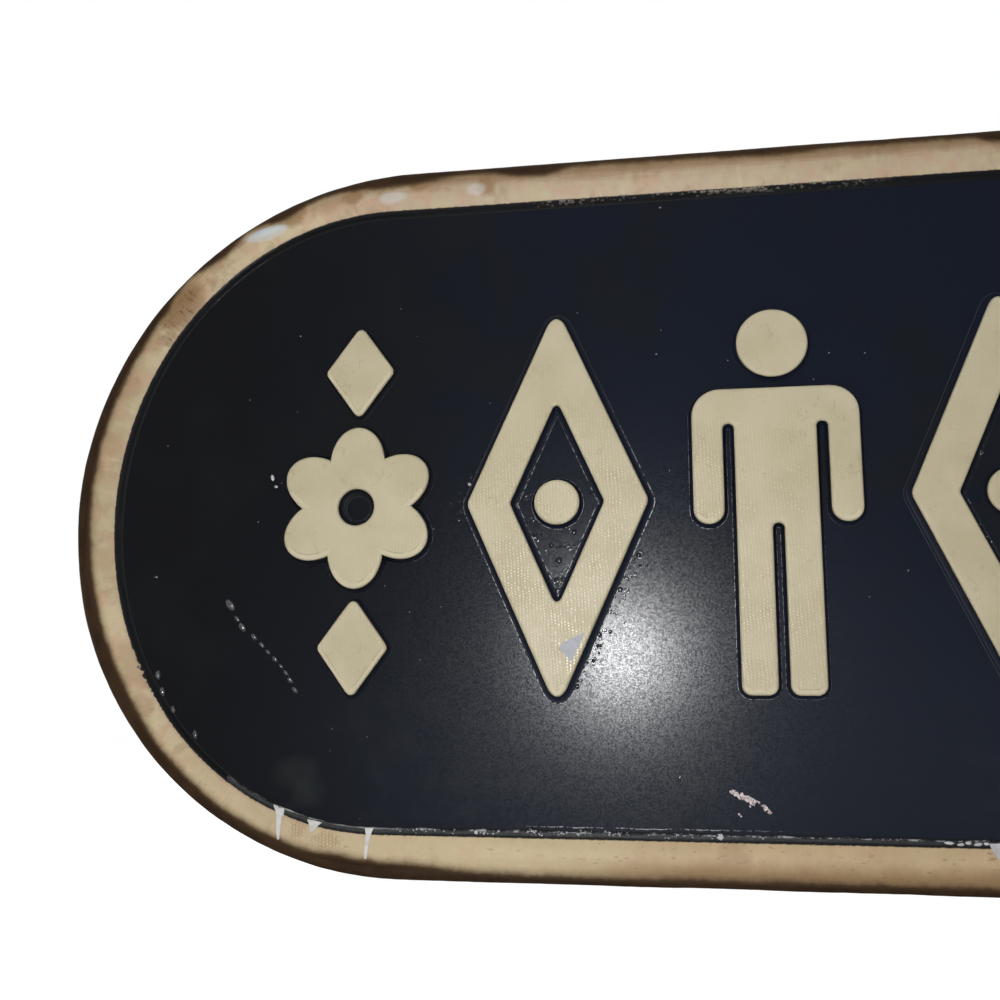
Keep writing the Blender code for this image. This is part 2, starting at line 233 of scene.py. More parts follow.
def alongRim(x, z):
    # metres round the sign, from the middle of its top to the middle of its bottom
    radius = rimEdge[0]
    straight = abs(x).maths("MINIMUM", radius)
    angle = (abs(x) - radius).maths("MAXIMUM", 0.0).maths("ARCTAN2", z)
    return radius + angle * radius - (radius - straight) * z.maths("SIGN")


def stains(x, z, spots, mottle):
    # soft spots with uneven edges, each with its middle, its size and its turn
    mask = patch(x, z, *spots[0])
    for spot in spots[1:]:
        mask = mask.maths("MAXIMUM", patch(x, z, *spot))
    return (mask * 1.2 + (mottle - 0.5) * 1.3).step(0.12, 0.75) * mask.step(0.0, 0.2)


# outlines with straight sides and round ends: where the ends start, their reach and half the height
rimEdge = (0.100, 0.100, 0.100)
slopeFoot = (0.1075, 0.0812, 0.0887)
rimLength = 0.5142  # from the middle of its top to the middle of its bottom
rimMarks = {
    # where the worn brown edge is widest and narrowest: millimetres along the rim, and millimetres wide
    "band": [
        (0, 3), (53, 2), (64, 4), (84, 2), (104, 4), (131, 2), (144, 3.5), (152, 1), (166, 3), (178, 1),
        (190, 3), (225, 4), (305, 5), (335, 4), (385, 3.5), (398, 4.5), (445, 2.5), (514, 2.5),
    ],
    "brown": [
        ((-170, 62), (17, 8.0), 60),
        ((-137, 88.5), (6.5, 4), 30),
        ((-119, 93.5), (6.5, 3), 12),
        ((-98.5, 95.5), (4, 2.4), 5),
        ((-79.5, 94), (4, 5), 0),
    ],
    "heart": [((-171, 61), (12, 5), 62), ((-175, 53), (4, 3), 60)],
    "faded": [
        ((-180, 53), (7, 4), 60),
        ((-186, 37), (6, 5), 70),
        ((-190.5, 21), (5, 4.5), 80),
        ((-194, 11), (5, 3), 85),
        ((-190, -14), (6, 5), 90),
        ((-181.5, -41), (6, 4), 115),
        ((-176, -55), (6, 4), 125),
        ((-178, -45), (8, 5), 118),
        ((-164, -67), (3, 2), 40),
        ((-127, 91), (8, 3.5), 15),
        ((-161, 76), (7, 4), 45),
        ((-13.7, -93.5), (5.5, 9), 0),
    ],
    # lens: a painted highlight, a bluish-white crescent of reflected light on the upper left of the rim
    "lens": [((-145.8, 83.6), (10.0, 3.0), 14)],
    "pale": [((-107, 92.4), (5.5, 2.6), 5), ((-82, 93.2), (4.2, 3.0), 0)],
    "dots": [((-129, -87), (3.0, 5.0), 0), ((-121, -90.5), (6, 3.2), 0)],
    "widest": 8.0,
}


def rimPaint():
    made, place = newMaterial("agedCreamRim", Specular_IOR_Level=0.08)
    x, z = place.parts("xz")
    edge = depthInside(x, z, *rimEdge)
    inner = depthInside(x, z, *slopeFoot)
    distance = alongRim(x, z)
    flow = distance.join(edge * 0.001, x.maths("SIGN") * 0.3)
    broad = place.noise(0.018)
    blotch = place.noise(0.0085, 2.0, shift=(5, 2, 9))
    middle = place.noise(0.005, 4.0, 0.62)
    fine = place.noise(0.0011)
    grain = flow.noise(0.0016, 4.0, stretch=(16, 1, 1))
    creases = flow.noise(0.0022, stretch=(0.7, 4, 1))
    atTop = z.step(0.045, 0.085)
    atFoot = z.step(-0.060, -0.085)
    atEnd = abs(x).step(0.105, 0.14)
    alongTop = atTop * (1.0 - atEnd)
    calm = 1.0 - atFoot * 0.7

    # cream paint, warmer along the foot and duller at the top, with painted shade darkening the left end and
    # the lower left bow
    tan = atFoot * x.step(-0.065, -0.02)
    foot = atFoot * (1.0 - tan) * abs(x).step(0.140, 0.110)
    # painted shade: the left end and the lower left bow are darkened where less light falls
    leftEndShade = patch(x, z, (-193, 22), (26, 62)).step(0.0, 0.6)
    leftEndShade = leftEndShade + patch(x, z, (-186, -54), (16, 18)).step(0.0, 0.6) * 0.5
    smudge = (middle * 0.7 + broad * 0.3).step(0.53, 0.66)
    cream = layers(
        broad.step(0.38, 0.62).blend((197, 180, 148), (188, 170, 138)),
        (foot * 0.45, (209, 191, 155)),
        (tan * 0.5, (188, 158, 120)),
        (alongTop * 0.75, (178, 158, 137)),
        (leftEndShade * 0.8, (168, 150, 121)),
        (blotch.step(0.50, 0.60) * calm * 0.38, (186, 178, 141)),
        ((1.0 - blotch).step(0.50, 0.62) * calm * 0.55, (187, 152, 126)),
        (smudge * calm * 0.42, (152, 130, 100)),
        (creases.step(0.58, 0.72) * atEnd * 0.25, (160, 138, 112)),
        ((1.0 - creases).step(0.60, 0.72) * 0.25, (206, 190, 160)),
        ((fine - 0.35) * 0.35, (164, 142, 112)),
    )

    # streaks, smears and stains on it, a painted highlight, and the worn brown outer edge
    streak = (grain * 0.7 + middle * 0.3).step(0.47, 0.60) * atTop * edge.step(7.6, 5.2)
    halo = tan * (edge + (middle - 0.5) * 4.0).step(8.5, 2.6)
    halo = halo + alongTop * (edge + (grain - 0.5) * 5).step(6.0, 3.4) * 0.8
    smear = flow.noise(0.0020, stretch=(2.0, 0.8, 1)).step(0.61, 0.72) * atFoot * middle.step(0.44, 0.54)
    nicks = flow.noise(0.00095, 2.0, 0.5, stretch=(2.2, 0.8, 1), shift=(3, 8, 1)).step(0.64, 0.72)
    thread = flow.noise(0.0012, 3.0, 0.65, stretch=(0.8, 3.0, 1)).step(0.54, 0.64)
    dots = stains(x, z, rimMarks["dots"], fine) * (1.0 - weave(place)).step(0.35, 0.75)
    # the lens patch: a painted highlight, bluish white and brightest in its core
    lens = stains(x, z, rimMarks["lens"], middle * 0.2 + 0.40).step(0.08, 0.66)
    highlightCore = patch(x, z, (-146.6, 85.0), (9.5, 3.2), 14).step(0.0, 0.55)
    points = [(along * mm / rimLength, width / rimMarks["widest"]) for along, width in rimMarks["band"]]
    worn = distance.make("ShaderNodeFloatCurve", {"points": points}, {"Value": distance / rimLength})
    depthIn = worn * rimMarks["widest"] + (middle - 0.5) * 1.6 + (fine - 0.5) * 0.3 - edge
    brown = depthIn.step(-1.1, 0.8)
    darkest = (middle * 0.6 + grain * 0.4).step(0.4, 0.6).blend((38, 23, 8), (51, 34, 17))
    colour = layers(
        cream,
        (streak * 0.7, (158, 128, 104)),
        (halo * 0.8, (138, 108, 76)),
        (smear * 0.5, (128, 96, 66)),
        (nicks * atFoot * x.step(-0.085, -0.035) * 0.42, (116, 86, 56)),
        (stains(x, z, rimMarks["faded"], middle) * 0.5, (162, 134, 104)),
        (stains(x, z, rimMarks["brown"], middle) * 0.85, (146, 115, 82)),
        (stains(x, z, rimMarks["heart"], middle) * (thread * 0.7 + 0.3), (104, 78, 48)),
        (dots * 0.5, (150, 116, 84)),
        (lens * (highlightCore * 0.45 + fine * 0.15 + 0.33), (200, 209, 214)),
        (stains(x, z, rimMarks["pale"], middle * 0.6 + 0.2) * 0.5, (200, 200, 200)),
        (depthIn.step(-2.2, -0.5) * 0.35, (134, 114, 82)),
        (brown, depthIn.step(0.1, 1.6).blend((72, 54, 33), darkest)),
    )

    # the slope runs out under the black of the ground, with a ragged pale fringe at the top
    frayed = patch(x, z, (-177, -48), (8, 14), 25) * 3.0
    lip = (inner + (fine - 0.5) * (0.5 + frayed)).step(-0.25, 0.05)
    ragged = patch(x, z, (-20, 88), (56, 30)).step(0.0, 0.3) * z.step(0.06, 0.08)
    fringe = lip * inner.step(1.9, 0.2) * (fine * 0.5 + grain * 0.5).step(0.50, 0.58) * ragged
    colour = layers(
        colour,
        (inner.step(-0.9, -0.1) * 0.3 * atEnd, (172, 142, 130)),
        (lip, (4, 5, 7)),
        (fringe * 0.7, (132, 126, 116)),
    )
    shiny = patch(x, z, (-152.5, 72), (15, 8), 36).step(0.0, 0.4)
    rough = 0.50 + lip * (0.15 - shiny * 0.35 * middle.step(0.44, 0.56)) + brown * 0.06 + (fine - 0.5) * 0.15
    height = fine * 0.25 + middle * 0.45 + creases * 0.3 + grain * atTop * 0.3
    return finished(made, colour, rough, height, 0.00022, 0.8)


def groundPaint(name="navyGloss", grainy=1.0, rough=0.228, mirror=0.03):
    made, place = newMaterial(name, Specular_IOR_Level=mirror, Coat_Roughness=rough)
    x, z = place.parts("xz")
    broad = place.noise(0.045)
    middle = place.noise(0.008)
    peel = place.noise(0.00042, 2.0)
    slow = place.noise(0.0022, 2.0, 0.5)
    haze = (broad * 0.6 + middle * 0.4).step(0.5, 0.62) * z.step(-0.03, -0.09)
    bloom = patch(x, z, (-131, -73), (8, 6)).step(0.0, 0.7)
    bloom = bloom + patch(x, z, (-127, -78.5), (6, 5)).step(0.0, 0.7)
    # a thin broken line of pale paint along the foot
    wander = depthInside(x, z, *slopeFoot) + (middle - 0.5) * 0.8 + (slow - 0.5) * 0.6
    line = wander.step(2.66, 2.80) * wander.step(3.04, 2.90) * z.step(-0.06, -0.08)
    line = line * x.step(-0.070, -0.058) * x.step(0.01, -0.03)
    line = line * (place.noise(0.0011, 2.0) * 0.6 + middle * 0.4).step(0.42, 0.56)
    colour = layers(
        x.step(-0.16, -0.02).blend((12, 13, 17), (14, 20, 33)),
        (broad.step(0.48, 0.62) * 0.5, (18, 20, 21)),
        # painted light: lighter navy towards the bottom right, where the glow spreads
        (z.step(0.005, -0.075) * x.step(-0.17, -0.05) * 0.8, (26, 31, 42)),
        (haze * 0.25, (44, 47, 52)),
        (bloom * middle * 0.8, (40, 44, 42)),
        (line * 0.9, (166, 168, 172)),
    )
    fleck = place.noise(0.00040, 2.0, 0.75).step(0.36, 0.64)
    nearGlow = patch(x, z, (-43, -41), (95, 85)).step(0.0, 0.7) * 0.7 + 0.3
    plug(made, Coat_Weight=(nearGlow * (fleck - 0.5) + 0.5) * (0.155 * grainy))
    return finished(made, colour, rough + (middle - 0.5) * 0.03, peel * grainy + slow * 0.2, 0.000016)


def linenPaint(name, woven, dark=0.0):
    made, place = newMaterial(name, Specular_IOR_Level=0.06, Coat_Roughness=0.26)
    x, y, z = place.parts()
    broad = place.noise(0.020)
    middle = place.noise(0.004, 4.0)
    fine = place.noise(0.0008)
    smudge = (broad * 0.4 + middle * 0.6).step(0.55, 0.66)
    # hair-fine creases where a slow noise crosses its middle
    fold = abs(place.noise(0.011, 3.0, 0.55, shift=(3, 1, 7)) - 0.5)
    creased = fold.step(0.012, 0.004) * middle.step(0.50, 0.58)
    cream = layers(
        broad.step(0.35, 0.65).blend((187, 178, 152), (179, 169, 142)),
        (smudge * 0.30, (164, 152, 126)),
        (creased * 0.22, (140, 124, 96)),
    )
    if woven:
        # near the glow the thread tops are painted light, a painted highlight, and the gaps between them
        # darker, painted shade
        nearGlow = patch(x, z, (-42, -30), (88, 72)).step(0.0, 0.75)
        shown = 0.10 + nearGlow * (0.40 + broad.step(0.40, 0.60) * 0.60)
        cloth = weave(place)
        threadHighlights = cloth.step(0.60, 0.95) * (fine * 0.6 + middle * 0.4).step(0.45, 0.60)
        gaps = cloth.step(0.34, 0.05) * shown * 0.34
        cream = layers(cream, (threadHighlights * shown * 0.80, (232, 224, 201)), (gaps, (158, 146, 116)))
        height = cloth * shown * 0.42 + fine * 0.35 - creased * 0.2
        plug(made, Coat_Weight=threadHighlights * shown * 0.30)
    else:
        # dark nicks: painted shade in the groove above the lip
        nicks = fine * middle.step(0.42, 0.56) * dark
        # the plain finishes are painted lighter: a painted highlight on the lip along the lower edges
        cream = layers(cream, (fine * 0.3 + 0.4, (198, 189, 162)), (nicks, (118, 104, 76)))
        height = fine * 0.2
    # the side walls are dark, up to an uneven line below the face
    side = (y + (fine - 0.5) * 0.0007 + (middle - 0.5) * 0.0006).step(-0.0172, -0.0168)
    colour = side.blend(cream, fine.step(0.62, 0.75).blend((22, 20, 28), (60, 52, 62)))
    return finished(made, colour, (0.36 if woven else 0.42) + (fine - 0.5) * 0.2, height, 0.00009)


def weave(place):
    # linen with about 12 threads to the centimetre: upright threads, beaded where the others cross them
    pitch = 0.00080
    wander = place.noise(0.006, 2.0, 0.5)
    jog = place.noise(0.0016, 2.0, 0.5)
    inputs = {0: place, 2: (0.0, math.radians(3.0), 0.0), 3: (1 / pitch,) * 3}
    u, v = place.make("ShaderNodeMapping", inputs=inputs).parts("xz")
    u = u * 0.86 + (wander - 0.5) * 1.4
    v = v + (wander - 0.5) * 0.7 + (jog - 0.5) * 1.1 + u.maths("FLOOR") * 0.5
    warp = (u.maths("FRACT") * math.pi).maths("SINE")
    weft = (v.maths("FRACT") * math.pi).maths("SINE")
    return warp * (weft * 0.75 + 0.25)


def boardPaint():
    made, place = newMaterial("stainedBoard")
    grain = place.noise(0.0022, 5.0, 0.65, stretch=(22, 1, 1))
    broad = place.noise(0.030, stretch=(3, 1, 1))
    colour = grain.step(0.35, 0.7).blend((74, 55, 41), (50, 35, 26))
    colour = (broad.step(0.45, 0.7) * 0.5).blend(colour, (88, 66, 48))
    return finished(made, colour, 0.6 + (grain - 0.5) * 0.2, grain, 0.0002, 0.5)


def zincFinish():
    made, place = newMaterial("dullZinc", Metallic=1.0)
    cloud = place.noise(0.004, 4.0, 0.65)
    colour = cloud.step(0.35, 0.7).blend((178, 176, 168), (138, 134, 124))
    return finished(made, colour, 0.34 + cloud * 0.2, place.noise(0.0004), 0.00002, 0.6)


def dripPaint(name, clean, dirty, rough):
    made, place = newMaterial(name)
    cloud = place.noise(0.0018, 4.0)
    fine = place.noise(0.0005)
    colour = cloud.step(0.40, 0.66).blend(clean, dirty)
    return finished(made, colour, rough + (fine - 0.5) * 0.2, fine + cloud, 0.00006, 0.8)


def footPaint():
    # the dark flap of paint at the foot of the rim, with a thin light line along its inner side: a painted
    # highlight where its crinkled edge catches the light
    made, place = newMaterial("footBead", Specular_IOR_Level=0.12)
    x, z = place.parts("xz")
    middle = place.noise(0.0035)
    fine = place.noise(0.0007, 3.0, 0.65)
    mottle = middle * 0.5 + fine * 0.5
    wander = depthInside(x, z, *slopeFoot) + (middle - 0.5) * 0.35 + (fine - 0.5) * 0.25
    whole = mottle.step(0.38, 0.48)
    broken = mottle.step(0.50, 0.58)
    right = x.step(-0.112, -0.096)
    # painted highlight: the light line along the inner edge
    line = wander.step(1.38, 1.58) * (whole + right * (broken - whole))
    colour = layers(
        mottle.step(0.40, 0.62).blend((30, 32, 33), (46, 48, 48)),
        (right * wander.step(0.9, 1.2) * 0.6, (30, 33, 40)),
        (x.step(-0.035, 0.0) * 0.8, (22, 24, 28)),
        (line * 0.9, (158, 160, 162)),
    )
    return finished(made, colour, 0.5 + (fine - 0.5) * 0.2, fine + middle, 0.00015, 0.9)


def ridgePaint():
    # the edge of the black strip beside the raised pieces: painted lighter near the glow, a painted highlight
    # where it shines
    made, place = newMaterial("stripRidge", Specular_IOR_Level=0.2)
    fine = place.noise(0.0009)
    nearGlow = patch(*place.parts("xz"), (-40, -32), (72, 68)).step(0.0, 0.7)
    ridgeHighlight = (nearGlow * fine.step(0.42, 0.56)).blend((38, 40, 48), (198, 198, 202))
    return finished(made, ridgeHighlight, 0.35 + (fine - 0.5) * 0.2, fine, 0.00006, 0.8)


rimFinish = rimPaint()
groundFinish = groundPaint()
linenFinish = linenPaint("creamLinen", True)
lipHighlightFinish = linenPaint("creamLipHighlight", False)
grooveShadeFinish = linenPaint("creamGrooveShade", False, 0.8)
boardFinish = boardPaint()
zinc = zincFinish()
filletFinish = groundPaint("blackStrip", 0.4, 0.5, 0.03)
ridgeFinish = ridgePaint()
blisterFinish = groundPaint("blisteredGloss", 0.3, 0.14, 0.20)
beadFinish = dripPaint("darkBead", (26, 27, 32), (58, 57, 62), 0.26)
fillerFinish = dripPaint("whiteFiller", (198, 197, 197), (188, 183, 174), 0.45)
chipFinish = dripPaint("greyChip", (183, 184, 188), (160, 158, 160), 0.55)
baseFinish = dripPaint("greyBase", (143, 146, 152), (134, 138, 145), 0.6)
scrapeFinish = dripPaint("pinkScrape", (206, 193, 193), (136, 118, 122), 0.5)
footFinish = footPaint()
smudgeFinish = dripPaint("lightSmudge", (172, 171, 175), (92, 92, 98), 0.5)
print("materials made")


# the small moves of modelling by hand
tiny = 1e-6  # metres: places closer than this are the same
clearance = 0.0003  # metres, left round what sits in a hole
outside = -0.001  # a depth in front of the back, where cutters start


def begin():
    if bpy.context.object and bpy.context.object.mode != "OBJECT":
        bpy.ops.object.mode_set(mode="OBJECT")
    for other in list(bpy.context.selected_objects):
        other.select_set(False)


def makeActive(piece):
    begin()
    piece.select_set(True)
    bpy.context.view_layer.objects.active = piece


def editMode(piece):
    makeActive(piece)
    bpy.ops.object.mode_set(mode="EDIT")
    bpy.ops.mesh.select_mode(type="VERT")


def objectMode():
    bpy.ops.object.mode_set(mode="OBJECT")


def pickAll():
    bpy.ops.mesh.select_all(action="SELECT")


def pick(kind, rule):
    # selects what the rule says of the mesh in edit mode, and nothing else
    bpy.ops.mesh.select_mode(type=kind)
    bpy.ops.mesh.select_all(action="DESELECT")
    shape = bmesh.from_edit_mesh(bpy.context.object.data)
    things = {"VERT": shape.verts, "EDGE": shape.edges, "FACE": shape.faces}[kind]
    for thing in things:
        if rule(thing):
            thing.select_set(True)
    shape.select_flush_mode()
    bmesh.update_edit_mesh(bpy.context.object.data)


def keepPicked(rule):
    # of the picked points, keeps those that the rule takes
    shape = bmesh.from_edit_mesh(bpy.context.object.data)
    for point in shape.verts:
        if point.select and not rule(point.co):
            point.select_set(False)
    shape.select_flush_mode()
    bmesh.update_edit_mesh(bpy.context.object.data)


def pickAgain(indices):
    shape = bmesh.from_edit_mesh(bpy.context.object.data)
    shape.verts.ensure_lookup_table()
    for index in indices:
        shape.verts[index].select_set(True)
    shape.select_flush_mode()
    bmesh.update_edit_mesh(bpy.context.object.data)


def pickedPoints():
    shape = bmesh.from_edit_mesh(bpy.context.object.data)
    return [point.index for point in shape.verts if point.select]


def move(x=0.0, y=0.0, z=0.0):
    bpy.ops.transform.translate(value=(x, y, z))


def extrude(y=0.0, x=0.0):
    bpy.ops.mesh.extrude_region_move(TRANSFORM_OT_translate={"value": (x, y, 0)})


def remove(kind):
    bpy.ops.mesh.delete(type=kind)


def resize(value, centre):
    bpy.ops.transform.resize(value=value, center_override=centre)


def fixPlace():
    bpy.ops.object.transform_apply(location=True, rotation=True, scale=True)


def applyAll(piece):
    makeActive(piece)
    for modifier in list(piece.modifiers):
        bpy.ops.object.modifier_apply(modifier=modifier.name)


def addModifier(piece, kind, **settings):
    modifier = piece.modifiers.new(kind.lower(), kind)
    for name, value in settings.items():
        setattr(modifier, name, value)
    return modifier


def outward(piece):
    editMode(piece)
    pickAll()
    bpy.ops.mesh.remove_doubles(threshold=2e-6)
    bpy.ops.mesh.normals_make_consistent(inside=False)
    objectMode()


def paintPicked(index):
    # the picked faces take the material in this slot
    bpy.context.object.active_material_index = index
    bpy.ops.object.material_slot_assign()


def pieceName(node):
    # rim_left_bow gives rimLeftBow
    first, *others = node.split("_")
    return first + "".join(word.capitalize() for word in others)


def copyOf(piece, name):
    made = piece.copy()
    made.data = piece.data.copy()
    made.name = name
    made.data.name = name
    bpy.context.scene.collection.objects.link(made)
    return made


def settle(piece, name, materials, slot, *nodes, smooth=35):
    # a finished piece: named, painted, smooth where it is round, and riding with the sign
    makeActive(piece)
    fixPlace()
    bpy.ops.object.shade_smooth_by_angle(angle=math.radians(smooth))
    piece.name = name
    piece.data.name = name
    for finish in materials:
        if finish.name not in piece.data.materials:
            piece.data.materials.append(finish)
    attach(piece, "root")
    if nodes:
        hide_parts(*nodes)
    return piece


def joinPieces(first, *others):
    begin()
    for other in others:
        other.select_set(True)
    first.select_set(True)
    bpy.context.view_layer.objects.active = first
    bpy.ops.object.join()
    return first


def cutBy(piece, tool):
    modifier = addModifier(piece, "BOOLEAN", operation="DIFFERENCE", solver="EXACT", object=tool)
    makeActive(piece)
    bpy.ops.object.modifier_apply(modifier=modifier.name)
    bpy.data.objects.remove(tool, do_unlink=True)


def addCircle(sides, radius, depth, place=(0, 0), filled=True):
    # upright, facing the front
    begin()
    bpy.ops.mesh.primitive_circle_add(
        vertices=sides,
        radius=radius,
        fill_type="NGON" if filled else "NOTHING",
        location=(place[0], -depth, place[1]),
        rotation=(math.pi / 2, 0, 0),
    )
    fixPlace()
    return bpy.context.object


def addGrid(across, up, depth):
    # a metre wide and high, upright, facing the front
    begin()
    turn = (math.pi / 2, 0, 0)
    bpy.ops.mesh.primitive_grid_add(
        x_subdivisions=across, y_subdivisions=up, size=1, location=(0, -depth, 0), rotation=turn
    )
    fixPlace()
    return bpy.context.object


def addLoop(sizes, depth):
    # an edge loop with straight sides and round ends, standing at a depth
    centre, radius = sizes["centre"], sizes["radius"]

    def isSide(edge):
        straight = all(abs(abs(point.co.z) - radius) < tiny for point in edge.verts)
        return straight and edge.calc_length() > 0.5 * centre

    loop = addCircle(2 * sizes["endSteps"], radius, depth, filled=False)
    editMode(loop)
    pick("VERT", lambda point: point.co.x < -tiny)
    remove("VERT")
    pickAll()
    move(x=centre)
    for side in (1, -1):
        pick("VERT", lambda point: abs(point.co.x - centre) < tiny and point.co.z * side > 0)
        extrude(x=-centre)
    pick("EDGE", isSide)
    bpy.ops.mesh.subdivide(number_cuts=sizes["sideCuts"])
    objectMode()
    addModifier(loop, "MIRROR", merge_threshold=1e-5)
    applyAll(loop)
    return loop


def cutOff(x, side):
    # takes away what lies beyond x, to the right where side is 1 and to the left where it is -1
    pickAll()
    bpy.ops.mesh.bisect(plane_co=(x, 0, 0), plane_no=(side, 0, 0), use_fill=True, clear_outer=True)


# the rim: one moulded ring, then cut into two bows and two rails
rimSizes = {
    "centre": 0.1000,
    "radius": 0.1000,
    "shift": 0.0075,
    "width": 0.0113,
    "back": 0.0123,
    "sideHeight": 0.0044,
    "roundWidth": 0.0028,
    "shoulder": 0.0052,
    "crest": 0.00565,
    "faceEdge": 0.0041,
    "slope": 0.0021,
    "lip": 0.00274,
    "rebate": 0.0015,
    "foot": 0.0002,
    "smoothUpTo": 0.0034,
    "halfJoint": 0.000006,
    "endSteps": 180,
    "sideCuts": 55,
}


def rimSection(sizes):
    # how far in from the outer edge, and how far above the rim's back
    side, shoulder, edge, lip = sizes["sideHeight"], sizes["shoulder"], sizes["faceEdge"], sizes["lip"]
    width, roundWidth = sizes["width"], sizes["roundWidth"]
    places = [(0.0, sizes["foot"]), (0.0, side * 0.5), (0.0, side)]
    for step in range(1, 9):
        angle = math.pi / 2 * step / 8
        places.append((roundWidth * (1 - math.cos(angle)), side + (shoulder - side) * math.sin(angle)))
    middle = (shoulder + edge) / 2
    for step in range(1, 13):
        share = step / 12
        along = roundWidth + (width - roundWidth) * share
        level = shoulder + (edge - shoulder) * share
        places.append((along, level + (sizes["crest"] - middle) * 4 * share * (1 - share)))
    for step in range(1, 9):
        share = step / 8
        level = lip + (edge - lip) * (1 + math.cos(math.pi * share)) / 2
        places.append((width + sizes["slope"] * share, level))
    inner = width - sizes["rebate"]
    return places + [(inner, lip), (inner, 0.0), (sizes["foot"], 0.0)]


def ringShape(sizes, along):
    share = along / sizes["width"]
    centre = sizes["centre"] + sizes["shift"] * share
    reach = sizes["radius"] - (sizes["width"] + sizes["shift"]) * share
    return centre, reach, sizes["radius"] - sizes["width"] * share


def moveRing(old, new, drop):
    # the picked ring goes from one outline to another: the rails first, then each bow
    extrude(-drop)
    resize((1, 1, new[2] / old[2]), (0, 0, 0))
    ring = pickedPoints()
    for side in (1, -1):
        keepPicked(lambda place: place.x * side > old[0] + tiny)
        resize((new[1] / old[1], 1, 1), (side * old[0], 0, 0))
        move(x=side * (new[0] - old[0]))
        pickAgain(ring)
    keepPicked(lambda place: abs(place.x) < old[0] + tiny)
    resize((new[0] / old[0], 1, 1), (0, 0, 0))
    pickAgain(ring)


def followSection(sizes, section):
    # the picked ring runs along a section and leaves the surface behind it
    shapes = [ringShape(sizes, place[0]) for place in section]
    for index in range(1, len(section)):
        moveRing(shapes[index - 1], shapes[index], section[index][1] - section[index - 1][1])


def closeRing(count):
    # bridges the picked ring with the first one, whose points are the first count
    last = set(pickedPoints())
    pick("VERT", lambda point: point.index < count or point.index in last)
    bpy.ops.mesh.bridge_edge_loops()


def buildRimRing(sizes):
    section = rimSection(sizes)
    ring = addLoop(sizes, sizes["back"] + section[0][1])
    editMode(ring)
    pickAll()
    count = len(ring.data.vertices)
    followSection(sizes, section)
    closeRing(count)
    objectMode()
    outward(ring)
    return ring


def roughen(piece, name, size, strength, group=""):
    texture = bpy.data.textures.new(name, "CLOUDS")
    texture.noise_scale = size
    texture.noise_depth = 2
    addModifier(piece, "DISPLACE", texture=texture, strength=strength, mid_level=0.5, vertex_group=group)


def groupOf(piece, name, rule):
    group = piece.vertex_groups.new(name=name)
    group.add([point.index for point in piece.data.vertices if rule(point.co)], 1.0, "REPLACE")


def buildRim(sizes):
    ring = buildRimRing(sizes)
    groupOf(ring, "front", lambda place: place.y < -(sizes["back"] + sizes["smoothUpTo"]))
    addModifier(ring, "SUBSURF", levels=1, render_levels=1, subdivision_type="SIMPLE")
    roughen(ring, "rimWave", 0.022, 0.00035, "front")
    roughen(ring, "rimGrain", 0.003, 0.00010, "front")
    applyAll(ring)
    limit, gap = sizes["centre"] + sizes["shift"], sizes["halfJoint"]
    railEnds = [(limit - gap, 1), (gap - limit, -1)]
    cuts = {
        "rim_left_bow": [(-limit - gap, 1)],
        "rim_right_bow": [(limit + gap, -1)],
        "rim_top_rail": railEnds,
        "rim_bottom_rail": railEnds,
    }
    made = {}
    for node, ends in cuts.items():
        piece = copyOf(ring, pieceName(node))
        editMode(piece)
        if node.endswith("rail"):
            level = 1 if "top" in node else -1
            pick("VERT", lambda point: point.co.z * level < 0)
            remove("VERT")
        for x, side in ends:
            cutOff(x, side)
        objectMode()
        made[node] = settle(piece, pieceName(node), [rimFinish], "rim", node)
        print(pieceName(node), len(piece.data.polygons), "faces")
    bpy.data.objects.remove(ring, do_unlink=True)
    return made


rimPieces = buildRim(rimSizes)


# the navy ground: a thin panel inside the rim
groundSizes = {
    "centre": 0.1075,
    "radius": 0.0899,
    "endReach": 0.0824,
    "back": 0.0123,
    "thick": 0.0027,
    "endSteps": 128,
    "sideCuts": 3,
}


def buildSlab(sizes):
    slab = addLoop(sizes, sizes["back"])
    editMode(slab)
    for side in (1, -1):
        pick("VERT", lambda point: point.co.x * side > sizes["centre"] - tiny)
        resize((sizes["endReach"] / sizes["radius"], 1, 1), (side * sizes["centre"], 0, 0))
    pickAll()
    bpy.ops.mesh.edge_face_add()
    extrude(-sizes["thick"])
    objectMode()
    outward(slab)
    return slab


ground = settle(buildSlab(groundSizes), "navyGround", [groundFinish], "ground", "ground_panel")


# the base board, with room for the plates and the screws
boardSizes = {
    "centre": 0.1000,
    "radius": 0.0995,
    "endReach": 0.0995,
    "back": 0.0,
    "thick": 0.012,
    "endSteps": 160,
    "sideCuts": 3,
    "chamfer": 0.0010,
    "round": 0.0006,
}
plateSizes = {
    "places": ((-0.110, 0.032), (0.110, 0.032)),
    "width": 0.017,
    "height": 0.050,
    "thick": 0.0012,
    "corner": 0.004,
    "sink": 0.0002,
    "entryRadius": 0.00475,
    "entryDrop": 0.0070,
    "slotWidth": 0.0048,
    "slotRise": 0.0090,
    "roomWidth": 0.0120,
    "roomDepth": 0.0060,
    "roomReach": 0.0030,
    "screwSpacing": 0.039,
}
rimScrewSizes = {
    "name": "rimScrew",
    "head": 0.0029,
    "headHeight": 0.0018,
    "shank": 0.00145,
    "length": 0.0157,
    "sink": 0.0003,
    "slot": 0.0008,
    "slotDepth": 0.0007,
    "pitch": 0.0012,
    "thread": 0.00042,
    "holeEnd": 0.013,
}
plateScrewSizes = {
    "name": "plateScrew",
    "head": 0.0024,
    "headHeight": 0.0011,
    "shank": 0.00125,
    "length": 0.0092,
    "sink": 0.0003,
    "slot": 0.0008,
    "slotDepth": 0.0005,
    "pitch": 0.0010,
    "thread": 0.00036,
}


def placeOf(node):
    low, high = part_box(node)
    middle = (low + high) / 2
    return middle.x, middle.z


